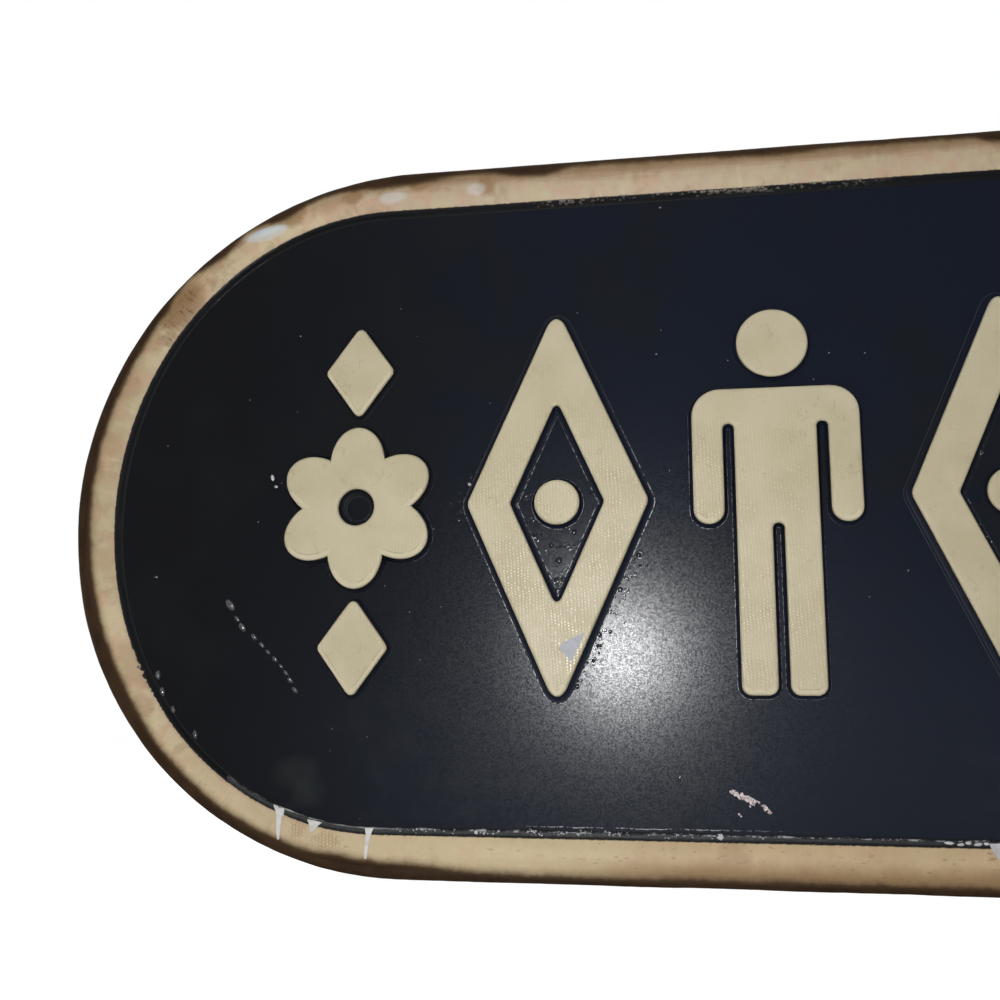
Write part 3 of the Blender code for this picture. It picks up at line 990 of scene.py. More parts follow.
hangerNodes = ["hanger_plate_left", "hanger_plate_right"]
rimScrewNodes = ["rim_screw_%02d" % number for number in range(1, 11)]
plateCorners = [(side, level) for side in ("left", "right") for level in ("upper", "lower")]
plateScrewNodes = ["plate_screw_%s_%s" % corner for corner in plateCorners]


def addTurned(profile, place=(0, 0), sides=32):
    # a turned shape, from one circle: its radius and depth at each step
    radius, depth = profile[0]
    turned = addCircle(sides, radius, depth, place)
    editMode(turned)
    pickAll()
    for newRadius, newDepth in profile[1:]:
        extrude(depth - newDepth)
        resize((newRadius / radius, 1, newRadius / radius), (place[0], 0, place[1]))
        radius, depth = newRadius, newDepth
    objectMode()
    outward(turned)
    return turned


def addScrewHole(screw, place, end):
    # wide behind the head, a cone for the countersink, then the shank's bore
    wide, narrow = screw["head"] + clearance, screw["shank"] + clearance
    top, bottom = screw["sink"], screw["sink"] + screw["headHeight"]
    return addTurned([(wide, outside), (wide, top), (narrow, bottom), (narrow, end)], place)


def addPlateBlank(sizes, grow, start, end):
    begin()
    bpy.ops.mesh.primitive_plane_add(size=1, location=(0, -start, 0), rotation=(math.pi / 2, 0, 0))
    blank = bpy.context.object
    blank.scale = (sizes["width"] + 2 * grow, sizes["height"] + 2 * grow, 1)
    fixPlace()
    editMode(blank)
    pickAll()
    bpy.ops.mesh.bevel(offset=sizes["corner"] + grow, segments=8, affect="VERTICES")
    pickAll()
    extrude(start - end)
    objectMode()
    outward(blank)
    return blank


def addRound(width, top, bottom, start, end):
    # a long hole with round ends, from one circle pulled apart
    tool = addCircle(48, width / 2, start)
    editMode(tool)
    pick("VERT", lambda point: point.co.z > -tiny)
    move(z=top - width / 2)
    pick("VERT", lambda point: point.co.z < -tiny)
    move(z=bottom + width / 2)
    pickAll()
    extrude(start - end)
    objectMode()
    outward(tool)
    return tool


def buildBoard(sizes, plate):
    board = buildSlab(sizes)
    editMode(board)
    pick("EDGE", lambda edge: all(abs(point.co.y) < tiny for point in edge.verts))
    bpy.ops.mesh.bevel(offset=sizes["chamfer"], segments=1, affect="EDGES")
    pick("EDGE", lambda edge: all(abs(point.co.y + sizes["thick"]) < tiny for point in edge.verts))
    bpy.ops.mesh.bevel(offset=sizes["round"], segments=3, affect="EDGES")
    objectMode()
    floor = plate["sink"] + plate["thick"] + clearance
    top = plate["slotRise"] + plate["slotWidth"] / 2 + plate["roomReach"]
    bottom = -plate["entryDrop"] - plate["entryRadius"] - plate["roomReach"]
    for x, z in plate["places"]:
        pocket = addPlateBlank(plate, clearance, outside, floor)
        room = addRound(plate["roomWidth"], top, bottom, outside, floor + plate["roomDepth"])
        for tool in (pocket, room):
            tool.location = (x, 0, z)
            cutBy(board, tool)
    tools = [addScrewHole(rimScrewSizes, placeOf(node), rimScrewSizes["holeEnd"]) for node in rimScrewNodes]
    radius = plateScrewSizes["shank"] + clearance
    end = plateScrewSizes["sink"] + plateScrewSizes["length"] + clearance
    for node in plateScrewNodes:
        tools.append(addTurned([(radius, floor - 0.0005), (radius, end)], placeOf(node)))
    cutBy(board, joinPieces(*tools))
    return settle(board, "baseBoard", [boardFinish], "board", "base_board")


board = buildBoard(boardSizes, plateSizes)
print("board made,", len(board.data.polygons), "faces")


def buildPlate(sizes):
    plate = addPlateBlank(sizes, 0.0, sizes["sink"], sizes["sink"] + sizes["thick"])
    far = sizes["sink"] + sizes["thick"] - outside
    slotTop = sizes["slotRise"] + sizes["slotWidth"] / 2
    entry = sizes["entryRadius"]
    cutBy(plate, addTurned([(entry, outside), (entry, far)], (0, -sizes["entryDrop"]), 48))
    cutBy(plate, addRound(sizes["slotWidth"], slotTop, -sizes["entryDrop"], outside, far))
    for side in (1, -1):
        cutBy(plate, addScrewHole(plateScrewSizes, (0, side * sizes["screwSpacing"] / 2), far))
    outward(plate)
    addModifier(plate, "BEVEL", width=0.00015, segments=2, limit_method="ANGLE", angle_limit=math.radians(50))
    applyAll(plate)
    return plate


def placeCopies(model, names, nodes, places, finish):
    for name, node, place in zip(names, nodes, places):
        piece = copyOf(model, name)
        piece.location = (place[0], 0, place[1])
        settle(piece, name, [finish], "hardware", node)
    bpy.data.objects.remove(model, do_unlink=True)


hangerNames = [pieceName(node) for node in hangerNodes]
placeCopies(buildPlate(plateSizes), hangerNames, hangerNodes, plateSizes["places"], zinc)


def buildScrew(sizes):
    # head and shank turned, a driver's slot cut, and a thread wound round the core
    sink, length, head, shank = sizes["sink"], sizes["length"], sizes["head"], sizes["shank"]
    core = shank - sizes["thread"]
    under = sink + sizes["headHeight"]
    profile = [(head - 0.00012, sink), (head, sink + 0.00010), (head, sink + 0.00022), (shank, under)]
    profile += [(shank, under + 0.16 * length), (core, under + 0.19 * length)]
    profile += [(core * 0.92, sink + 0.84 * length), (core * 0.25, sink + 0.97 * length)]
    profile.append((core * 0.05, sink + length))
    screw = addTurned(profile)
    begin()
    bpy.ops.mesh.primitive_cube_add(size=1, location=(0, -sink, 0))
    tool = bpy.context.object
    tool.scale = (3 * head, 2 * sizes["slotDepth"], sizes["slot"])
    cutBy(screw, tool)

    start = (core, -under - 0.17 * length, 0)
    begin()
    bpy.ops.mesh.primitive_circle_add(vertices=3, radius=sizes["thread"] * 1.2, location=start)
    thread = bpy.context.object
    fixPlace()
    editMode(thread)
    pickAll()
    bpy.ops.transform.rotate(value=math.radians(90), orient_axis="Z", center_override=start)
    objectMode()
    winding = {
        "axis": "Y",
        "angle": 2 * math.pi,
        "steps": 20,
        "render_steps": 20,
        "screw_offset": -sizes["pitch"],
        "iterations": int(0.70 * length / sizes["pitch"]),
        "use_normal_calculate": True,
        "use_merge_vertices": False,
    }
    addModifier(thread, "SCREW", **winding)
    applyAll(thread)
    editMode(thread)
    pickAll()
    bpy.ops.mesh.fill_holes(sides=4)
    objectMode()
    return joinPieces(screw, thread)


for sizes, nodes in ((rimScrewSizes, rimScrewNodes), (plateScrewSizes, plateScrewNodes)):
    names = [sizes["name"] + "%02d" % (number + 1) for number in range(len(nodes))]
    placeCopies(buildScrew(sizes), names, nodes, [placeOf(node) for node in nodes], zinc)
print("plates and screws made")


# the raised cut-outs, a hair in front of the ground panel
groundLevel = groundSizes["back"] + groundSizes["thick"]
raisedSizes = {
    "back": 0.0153,
    "front": 0.0180,
    "pitch": 0.0588,
    "rosettePitch": 0.0567,
    "lip": 0.0014,
    "groove": 0.0003,
    "grooveDepth": 0.00013,
    "bevel": 0.0008,
    "stripPull": 0.001,
    "stripThick": 0.00025,
}
# the black strip beside them: how far each step goes, and the depth that it goes to
outerSteps = [(0.0, 0.0158), (0.00045, 0.01549), (0.0005, 0.01525), (0.0005, 0.01509), (0.0002, 0.01521)]
outerSteps.append((0.0003, 0.01494))
innerSteps = [(0.0, 0.01585), (0.0004, 0.01552), (0.0005, 0.01526), (0.0005, 0.01509), (0.0002, 0.0152)]
innerSteps.append((0.0003, 0.01494))
figureSizes = {
    "columns": (-0.022, -0.0138, -0.0108, -0.0015, 0.0015, 0.0108, 0.0138, 0.022),
    "rows": (-0.052, -0.007, 0.0203, 0.030),
    "gaps": ((0, 0), (1, 0), (1, 1), (3, 0), (5, 0), (5, 1), (6, 0)),
    "headRadius": 0.0095,
    "headRise": 0.0425,
    "shoulder": 0.0075,
    "hand": 0.0040,
    "foot": 0.0026,
    "crease": 0.00145,
}
lozengeSizes = {"width": 0.050, "height": 0.112, "band": 0.011, "tip": 0.003, "boss": 0.0062}
rosetteSizes = {"radius": 0.023, "petals": 6, "steps": 30, "depth": 0.0072, "eye": 0.0052}
dropSizes = {"width": 0.0205, "height": 0.028, "tip": 0.0018, "rise": 0.0393, "lip": 0.0011}


def addDisc(radius, sides):
    return addCircle(sides, radius, raisedSizes["back"])


def addLozenge(width, height, tip):
    flat = addDisc(0.5, 4)
    editMode(flat)
    pickAll()
    resize((width, 1, height), (0, 0, 0))
    half = math.atan2(width, height)
    # the tips above and below first, then the two at the sides
    for angle, axis in ((half, 0), (math.pi / 2 - half, 2)):
        pick("VERT", lambda point: abs(point.co[axis]) < tiny)
        bpy.ops.mesh.bevel(offset=tip / math.tan(angle), segments=8, affect="VERTICES")
    objectMode()
    return flat


def addFigureBody(sizes):
    # a grid of columns and rows, without those faces that are open, its corners rounded
    columns, rows = sizes["columns"], sizes["rows"]
    across, up = len(columns) - 1, len(rows) - 1
    body = addGrid(across, up, raisedSizes["back"])
    editMode(body)
    for index, x in enumerate(columns):
        start = index / across - 0.5
        pick("VERT", lambda point: abs(point.co.x - start) < 1e-4)
        move(x=x - start)
    for index, z in enumerate(rows):
        start = index / up - 0.5
        pick("VERT", lambda point: abs(point.co.z - start) < 1e-4)
        move(z=z - start)

    def inGap(face):
        middle = face.calc_center_median()
        for column, row in sizes["gaps"]:
            if columns[column] < middle.x < columns[column + 1] and rows[row] < middle.z < rows[row + 1]:
                return True
        return False

    pick("FACE", inGap)
    remove("FACE")
    pickAll()
    bpy.ops.mesh.dissolve_faces()
    pickAll()
    bpy.ops.mesh.dissolve_limited(angle_limit=math.radians(1))
    side, arm, waist, gap = columns[-1], columns[-2], columns[-3], columns[-4]
    corners = [
        (sizes["shoulder"], [(side, rows[3])]),
        (sizes["hand"], [(side, rows[1]), (arm, rows[1])]),
        (sizes["crease"], [(arm, rows[2]), (waist, rows[2]), (gap, rows[1])]),
        (sizes["foot"], [(waist, rows[0]), (gap, rows[0])]),
    ]
    for radius, places in corners:

        def isCorner(point):
            here = (abs(point.co.x), point.co.z)
            return any(math.dist(here, place) < 1e-5 for place in places)

        pick("VERT", isCorner)
        bpy.ops.mesh.bevel(offset=radius, segments=8, affect="VERTICES")
    objectMode()
    return body


def addRosette(sizes):
    # a circle whose points are drawn in between the petals, those of one angle at a time
    count = sizes["petals"] * sizes["steps"]
    flower = addDisc(sizes["radius"], count)
    editMode(flower)
    for step in range(sizes["steps"] // 2 + 1):
        angle = 2 * math.pi * step / count
        crease = 1 - abs(math.cos(sizes["petals"] * angle / 2))
        share = 1 - sizes["depth"] * crease / sizes["radius"]

        def atAngle(point):
            turn = math.degrees(math.atan2(point.co.x, point.co.z)) % (360 / sizes["petals"])
            here = min(turn, 360 / sizes["petals"] - turn)
            return abs(here - math.degrees(angle)) < 0.1

        pick("VERT", atAngle)
        resize((share, 1, share), (0, 0, 0))
    objectMode()
    return flower


def buildRaised(flat, node, place, hole=None, lip=raisedSizes["lip"], creased=True, spread=0.55):
    # from a flat outline: thickness, opening, a smooth lip along its foot, and soft front edges
    sizes = raisedSizes
    name = pieceName(node)
    front = -sizes["front"]
    outline = copyOf(flat, name + "Strip")
    opening = copyOf(hole, name + "InnerStrip") if hole else None
    if hole:
        joinPieces(flat, hole)
        editMode(flat)
        pickAll()
        remove("ONLY_FACE")
        pickAll()
        bpy.ops.mesh.bridge_edge_loops()
        objectMode()
    editMode(flat)
    pickAll()
    extrude(sizes["back"] - sizes["front"])
    objectMode()
    outward(flat)
    for finish in (linenFinish, lipHighlightFinish, grooveShadeFinish):
        flat.data.materials.append(finish)
    editMode(flat)
    pick("FACE", isFront)
    for width in (lip, sizes["groove"]):
        bpy.ops.mesh.inset(thickness=width, use_even_offset=True)
    # the lip along the lower edges takes the lighter finish: a painted highlight
    pick("FACE", lambda face: creased and isFront(face) and facesDown(face))
    paintPicked(1)
    # the groove above the lip takes the darker finish: painted shade
    pick("FACE", isGroove)
    paintPicked(2)
    pick("VERT", lambda point: abs(point.co.y - front) < tiny and aboveLip(point))
    move(y=sizes["grooveDepth"])
    pick("EDGE", lambda edge: isFrontEdge(edge, front))
    bpy.ops.mesh.bevel(offset=sizes["bevel"], segments=5, affect="EDGES")
    objectMode()
    flat.location = (place[0], 0, place[1])
    addModifier(flat, "WEIGHTED_NORMAL", weight=80, keep_sharp=True)
    settle(flat, name, [], "raised", node, smooth=40)
    applyAll(flat)
    buildStrip(outline, place, outerSteps, spread)
    if opening:
        buildStrip(opening, place, innerSteps)


def buildStrip(ring, place, steps, spread=None):
    # the black paint that stands up against a raised piece's wall, and runs out on the ground
    level, pull = steps[0][1], raisedSizes["stripPull"]
    for finish in (filletFinish, ridgeFinish):
        ring.data.materials.append(finish)
    editMode(ring)
    pickAll()
    move(y=-level - ring.data.vertices[0].co.y)
    for width, depth in steps[1:]:
        if spread is None:
            bpy.ops.mesh.inset(thickness=width, use_even_offset=True)
            move(y=level - depth)
        else:
            # a wall drawn straight back, then fattened and brought forward again
            pick("EDGE", lambda edge: edge.is_boundary)
            bpy.ops.mesh.extrude_edges_move(TRANSFORM_OT_translate={"value": (0, pull, 0)})
            bpy.ops.transform.shrink_fatten(value=width * spread, use_even_offset=True)
            move(y=level - depth - pull)
        level = depth
    pick("FACE", lambda face: len(face.verts) > 4)
    remove("ONLY_FACE")
    pick("FACE", lambda face: any(point.co.y > -groundLevel for point in face.verts))
    paintPicked(1)
    pickAll()
    bpy.ops.mesh.normals_make_consistent(inside=False)
    shape = bmesh.from_edit_mesh(ring.data)
    if sum(face.normal.y for face in shape.faces) > 0:
        bpy.ops.mesh.flip_normals()
    objectMode()
    addModifier(ring, "SOLIDIFY", thickness=raisedSizes["stripThick"], offset=-1)
    applyAll(ring)
    ring.location = (place[0], 0, place[1])
    settle(ring, ring.name, [], "ground", smooth=60)


def isFront(face):
    return face.normal.y < -0.9


def isWall(face):
    return abs(face.normal.y) < 0.3


def wallOf(edge):
    walls = [face for face in edge.link_faces if isWall(face)]
    return walls[0] if walls else None


def facesDown(face):
    # beside a wall that looks down and outwards, not one at the top of an opening or between the legs
    for edge in face.edges:
        wall = wallOf(edge)
        if wall is not None and wall.normal.z < -0.45:
            middle = wall.calc_center_median()
            betweenLegs = abs(middle.x) < 0.002 and middle.z > -0.010
            return not betweenLegs and middle.x * wall.normal.x + middle.z * wall.normal.z > 0
    return False


def isGroove(face):
    # one of the narrow faces between the lip and the middle
    if face.material_index != 0 or len(face.verts) != 4:
        return False
    if any(wallOf(edge) is not None for edge in face.edges):
        return False
    return any(other.material_index == 1 for edge in face.edges for other in edge.link_faces)


def aboveLip(point):
    # on the line between the lip and the groove above it
    if any(isWall(face) for face in point.link_faces):
        return False
    return sum(face.material_index == 1 for face in point.link_faces) == 2


def isFrontEdge(edge, front):
    if any(point.co.y > front + 0.0005 for point in edge.verts):
        return False
    return sum(isWall(face) for face in edge.link_faces) == 1


pitch, rosetteAt = raisedSizes["pitch"], raisedSizes["pitch"] + raisedSizes["rosettePitch"]
half = math.atan2(lozengeSizes["width"], lozengeSizes["height"])
innerWidth = lozengeSizes["width"] - 2 * lozengeSizes["band"] / math.cos(half)
innerHeight = lozengeSizes["height"] - 2 * lozengeSizes["band"] / math.sin(half)

head = addDisc(figureSizes["headRadius"], 72)
buildRaised(head, "figure_head", (0, figureSizes["headRise"]), creased=False)
buildRaised(addFigureBody(figureSizes), "figure_body", (0, 0))
for side, word in ((-1, "_left"), (1, "_right")):
    opening = addLozenge(innerWidth, innerHeight, lozengeSizes["tip"] / 2)
    band = addLozenge(lozengeSizes["width"], lozengeSizes["height"], lozengeSizes["tip"])
    buildRaised(band, "lozenge" + word, (side * pitch, 0), opening, spread=1.0)
    buildRaised(addDisc(lozengeSizes["boss"], 56), "boss" + word, (side * pitch, 0), creased=False)
    eye = addDisc(rosetteSizes["eye"], rosetteSizes["petals"] * rosetteSizes["steps"])
    buildRaised(addRosette(rosetteSizes), "rosette" + word, (side * rosetteAt, 0), eye)
    for rise, level in ((1, "_upper"), (-1, "_lower")):
        drop = addLozenge(dropSizes["width"], dropSizes["height"], dropSizes["tip"])
        place = (side * rosetteAt, rise * dropSizes["rise"])
        buildRaised(drop, "drop" + word + level, place, lip=dropSizes["lip"])
print("raised pieces made")


# what time and paint left on it: beads, blisters, drips of filler, chips and flakes
def addLump(sides):
    # a low drop of paint, pulled a little out of round
    begin()
    bpy.ops.mesh.primitive_ico_sphere_add(subdivisions=sides, radius=1.0)
    lump = bpy.context.object
    editMode(lump)
    pick("VERT", lambda point: point.co.y < -0.4)
    bpy.ops.transform.resize(value=(0.86, 1.0, 0.80), center_override=(0.12, 0, 0.10))
    pick("VERT", lambda point: point.co.x > 0.55)
    resize((0.9, 0.8, 0.75), (0.7, 0, 0))
    objectMode()
    return lump


def addRingLump():
    # a burst blister: a low ring with a dished middle
    begin()
    turn = (math.pi / 2, 0, 0)
    bpy.ops.mesh.primitive_torus_add(
        major_segments=18, minor_segments=8, major_radius=0.72, minor_radius=0.28, rotation=turn
    )
    ring = bpy.context.object
    fixPlace()
    editMode(ring)
    pick("VERT", lambda point: point.co.x > 0.3 and point.co.y < 0)
    resize((1, 0.7, 1), (0, 0, 0))
    objectMode()
    return ring


def scatter(model, spots, name, finish, slot, depth):
    # copies of a model at spots in millimetres: x, z, width, height, how far it stands out, its turn
    pieces = []
    for x, z, width, height, rise, turn in spots:
        piece = copyOf(model, name + "Part")
        piece.scale = (width / 2 * mm, rise * mm, height / 2 * mm)
        piece.rotation_euler = (0, math.radians(turn), 0)
        piece.location = (x * mm, -depth, z * mm)
        pieces.append(piece)
    bpy.data.objects.remove(model, do_unlink=True)
    settle(joinPieces(*pieces), name, [finish], slot, smooth=70)


# the depths where the lumps sit
lumpDepths = {
    "sunk": 0.01498,
    "ground": 0.01500,
    "proud": 0.01503,
    "edge": 0.01560,
    "flakes": 0.01640,
    "foot": 0.01648,
}
chance = random.Random(11)
# a row of beads: their places, and how wide each is
beadRow = [
    (-152.4, -26.9, 1.9),
    (-150.1, -30.9, 1.2),
    (-148.5, -33.2, 1.5),
    (-144.8, -36.0, 1.3),
    (-142.4, -38.2, 1.1),
    (-140.5, -40.2, 1.0),
    (-138.4, -42.2, 1.2),
    (-136.5, -44.1, 0.9),
    (-135.0, -46.0, 1.1),
    (-133.7, -48.0, 1.2),
    (-132.2, -50.7, 1.3),
]
beads = [(x, z, width * 1.15, width * 2.0, 0.5, -42) for x, z, width in beadRow]
beads += [
    (-173.0, -46.6, 1.9, 2.8, 0.6, -10),
    (-171.4, -51.3, 1.9, 2.9, 0.6, -15),
    (-167.8, -56.3, 1.6, 2.4, 0.5, -20),
    (-160.8, -63.1, 1.7, 3.0, 0.6, -8),
    (-175.4, -18.6, 1.3, 0.9, 0.3, 0),
    (-29.2, 85.0, 1.2, 0.9, 0.35, 0),
]
smallBeads = [(-149.5, 33.2), (-174.3, 20.2), (-121.1, -61.2), (-111.1, -63.3)]
smallBeads += [(-121.5, -67.1), (-112.5, -84.9), (-142.3, 79.6)]
for x, z in smallBeads:
    beads.append((x, z, 0.55, 0.7, 0.22, chance.uniform(0, 90)))
scatter(addLump(2), beads, "paintBeads", beadFinish, "ground", lumpDepths["sunk"])


def alongLozenge(width, height, share):
    # a place on a lozenge's outline, from its top round to its left tip, its foot and its right tip
    corners = [(0, height / 2), (-width / 2, 0), (0, -height / 2), (width / 2, 0), (0, height / 2)]
    leg = int(share * 4) % 4
    part = share * 4 - int(share * 4)
    (x1, z1), (x2, z2) = corners[leg], corners[leg + 1]
    return x1 + (x2 - x1) * part, z1 + (z2 - z1) * part


def counterBeads():
    # small beads that line the openings, more of them on the left and at the foot
    spots = []
    for side in (-1, 1):
        for number in range(34):
            share = chance.uniform(0.03, 0.60)
            x, z = alongLozenge(innerWidth - 0.0028, innerHeight - 0.0062, share)
            size = chance.uniform(0.35, 0.85)
            x = side * pitch + x + chance.gauss(0, 0.00022)
            z += chance.gauss(0, 0.0003)
            height = size * chance.uniform(0.8, 1.5)
            spots.append((x / mm, z / mm, size, height, size * 0.35, chance.uniform(0, 180)))
        for number in range(12):
            angle = chance.uniform(0, 2 * math.pi)
            reach = rosetteSizes["eye"] - chance.uniform(0.0009, 0.0015)
            size = chance.uniform(0.35, 0.7)
            x, z = side * rosetteAt + reach * math.cos(angle), reach * math.sin(angle)
            spots.append((x / mm, z / mm, size, size * 1.2, size * 0.35, chance.uniform(0, 180)))
    return spots


scatter(addLump(2), counterBeads(), "counterBeads", beadFinish, "ground", lumpDepths["proud"])


# blisters round the left lozenge, in millimetres
blisterSetup = {
    "middle": -58.8,
    "inner": (12.95, 29),
    "outer": (25, 56),
    "boss": 7.6,
    "inside": 60,
    "right": 46,
    "left": 8,
}


def blisterField(setup):
    rings, lumps = [], []
    middle = setup["middle"]
    across, up = setup["inner"]
    for number in range(setup["inside"]):
        # inside the lozenge, most of them below its boss
        z = chance.uniform(-26, 6) - chance.uniform(0, 4)
        reach = max(across * (1 - abs(z) / up) - 2.0, 0.3)
        x = middle + chance.uniform(-reach, reach)
        if math.hypot(x - middle, z) > setup["boss"]:
            size = chance.uniform(0.7, 1.8)
            burst = chance.random() < 0.7
            (rings if burst else lumps).append((x, z, size, size, 0.30, chance.uniform(0, 180)))
    across, up = setup["outer"]
    for number in range(setup["right"]):
        # between the glow and the lozenge's right edge
        z = chance.uniform(-50, -14)
        reach = abs(chance.gauss(0, 2.6))
        x = middle + across - across * (-z / up) + 1.9 + reach
        size = chance.uniform(0.55, 1.7) * (1 - min(reach, 6) / 12)
        burst = chance.random() < 0.65
        height = size * chance.uniform(0.8, 1.4)
        (rings if burst else lumps).append((x, z, size, height, size * 0.20, chance.uniform(0, 180)))
    for number in range(setup["left"]):
        z = chance.uniform(-16, 10)
        x = middle - across * (1 - abs(z) / up) - 1.6 - abs(chance.gauss(0, 1.5))
        size = chance.uniform(0.6, 1.4)
        lumps.append((x, z, size, size * 1.2, size * 0.2, chance.uniform(0, 180)))
    lumps.append((-27.4, -73.4, 2.6, 0.7, 0.10, -75))
    return rings, lumps


rings, lumps = blisterField(blisterSetup)
scatter(addRingLump(), rings, "burstBlisters", blisterFinish, "ground", lumpDepths["ground"])
scatter(addLump(3), lumps, "blisters", blisterFinish, "ground", lumpDepths["sunk"])
faint = [
    (-36.5, -14.5, 2.4, 2.4, 0.07, 0),
    (-41.0, -20.5, 1.7, 1.7, 0.07, 40),
    (-33.8, -24.5, 1.4, 1.5, 0.06, 10),
    (-45.2, -29.0, 1.6, 1.8, 0.09, 70),
]
scatter(addRingLump(), faint, "faintBlisters", groundFinish, "ground", lumpDepths["ground"])
specks = []
for number in range(46):
    size = chance.uniform(0.22, 0.42)
    x, z = chance.uniform(-150, 60), chance.uniform(-45, 62)
    height = size * chance.uniform(0.8, 1.6)
    specks.append((x, z, size, height, size * 0.35, chance.uniform(0, 180)))
scatter(addLump(1), specks, "paintSpecks", scrapeFinish, "ground", lumpDepths["ground"])


drawingDepth = 0.03  # in front of the sign, where flat shapes are drawn


# the bead of paint along the foot of the rim's slope: how far in from the edge, and how far forward
footSizes = dict(
    rimSizes, endSteps=150, sideCuts=60, reach=0.150, innerCentre=0.1075, innerAcross=0.0812, innerUp=0.0887
)
footSection = [
    (0.01150, 0.00396),
    (0.01165, 0.00414),
    (0.01205, 0.00420),
    (0.01250, 0.00417),
    (0.01290, 0.00408),
    (0.01308, 0.00390),
    (0.01305, 0.00330),
    (0.01150, 0.00330),
]


def buildFootBead(sizes, section):
    def isInner(place):
        along = max(abs(place.x) - sizes["innerCentre"], 0)
        return math.hypot(along / sizes["innerAcross"], place.z / sizes["innerUp"]) < 0.9835

    bead = addLoop(sizes, sizes["back"] + section[0][1])
    editMode(bead)
    pickAll()
    count = len(bead.data.vertices)
    moveRing((sizes["centre"], sizes["radius"], sizes["radius"]), ringShape(sizes, section[0][0]), 0.0)
    pick("VERT", lambda point: point.index < count)
    remove("VERT")
    # out of edit mode and back, so that the first ring's points are numbered first
    objectMode()
    editMode(bead)
    pickAll()
    followSection(sizes, section)
    closeRing(count)
    cutOff(-sizes["reach"], -1)
    cutOff(sizes["reach"], 1)
    pick("VERT", lambda point: point.co.z > 0)
    remove("VERT")
    objectMode()
    outward(bead)
    groupOf(bead, "innerSide", isInner)
    roughen(bead, "footCrinkle", 0.0012, 0.00022)
    roughen(bead, "footWave", 0.0040, 0.0011, "innerSide")
    applyAll(bead)
    return settle(bead, "footBead", [footFinish], "ground", smooth=60)


footBead = buildFootBead(footSizes, footSection)
print("foot bead made")


def buildDrip(rows, name, finish, target, rise=0.30):
    # a run of thick paint: rows across it in millimetres, each with its middle, width and tilt
    count = len(rows)
    drip = addGrid(6, count - 1, drawingDepth)
    editMode(drip)
    for number, (x, z, width, tilt) in enumerate(rows):
        start = 0.5 - number / (count - 1)
        pick("VERT", lambda point: abs(point.co.z - start) < 1e-4 and abs(point.co.x) <= 0.5001)
        resize((width * mm, 1, 1), (0, 0, start))
        turn = math.atan2(tilt, width)
        bpy.ops.transform.rotate(value=turn, orient_axis="Y", center_override=(0, 0, start))
        move(x=x * mm, z=z * mm - start)
    pickAll()
    objectMode()
    addModifier(drip, "SUBSURF", levels=1, render_levels=1, subdivision_type="SIMPLE")
    ways = {"use_project_y": True, "use_positive_direction": True, "use_negative_direction": False}
    addModifier(drip, "SHRINKWRAP", wrap_method="PROJECT", target=target, **ways)
    applyAll(drip)
    editMode(drip)
    pickAll()
    for share in (0.3, 0.4, 0.3):
        bpy.ops.mesh.select_less()
        move(y=-rise * share * mm)
    pickAll()
    move(y=0.05 * mm)
    objectMode()
    addModifier(drip, "SOLIDIFY", thickness=0.0004, offset=-1)
    applyAll(drip)
    outward(drip)
    settle(drip, name, [finish], "rim", smooth=60)


drips = {
    "fillerDripLong": [
        (-134.9, -81.9, 3.4, -1.2),
        (-134.7, -82.6, 3.1, -1.0),
        (-134.5, -83.6, 2.2, -0.4),
        (-134.4, -85.0, 1.4, -0.1),
        (-134.2, -87.0, 1.1, 0),
        (-134.2, -88.8, 0.9, 0),
        (-134.2, -90.4, 0.5, 0),
    ],
    "fillerDripCap": [
        (-124.6, -85.1, 4.4, -0.9),
        (-124.7, -85.9, 3.6, -0.6),
        (-124.9, -86.8, 2.2, -0.2),
        (-125.0, -88.3, 0.9, 0),
    ],
    "fillerDripThin": [
        (-109.4, -87.0, 2.4, 0),
        (-109.5, -88.0, 1.7, 0),
        (-109.6, -89.5, 1.2, 0),
        (-109.6, -91.5, 1.0, 0),
        (-109.7, -93.4, 0.9, 0),
        (-109.8, -94.8, 0.5, 0),
    ],
    "fillerChunk": [
        (50.6, -87.4, 7.0, 0.2),
        (50.9, -89.0, 6.4, 0.4),
        (51.4, -90.8, 4.6, 1.0),
        (51.8, -92.4, 2.2, 0.6),
    ],
}
under = [rimPieces["rim_left_bow"], rimPieces["rim_bottom_rail"], footBead, ground]
painted = joinPieces(*[copyOf(piece, "paintedCopy") for piece in under])
for name, rows in drips.items():
    buildDrip(rows, name, chipFinish if name == "fillerChunk" else fillerFinish, painted)
bpy.data.objects.remove(painted, do_unlink=True)


# a thin flat chip laid on a raised piece, its outline in millimetres
chipSizes = {
    "outline": [(-57.0, -38.0), (-51.3, -35.7), (-54.9, -43.4), (-56.4, -41.6), (-58.4, -39.9)],
    "soften": 0.0003,
    "sunk": 0.00004,
    "thick": 0.00010,
}


def buildChip(sizes, name, finish):
    outline = sizes["outline"]
    chip = addCircle(len(outline), 0.01, drawingDepth)
    starts = [point.co.copy() for point in chip.data.vertices]
    editMode(chip)
    for number, (x, z) in enumerate(outline):
        pick("VERT", lambda point: point.index == number)
        move(x=x * mm - starts[number].x, z=z * mm - starts[number].z)
    pickAll()
    bpy.ops.mesh.bevel(offset=sizes["soften"], segments=3, affect="VERTICES")
    pickAll()
    move(y=drawingDepth - raisedSizes["front"] + sizes["sunk"])
    extrude(-sizes["thick"])
    objectMode()
    outward(chip)
    settle(chip, name, [finish], "raised")


buildChip(chipSizes, "greyChip", baseFinish)


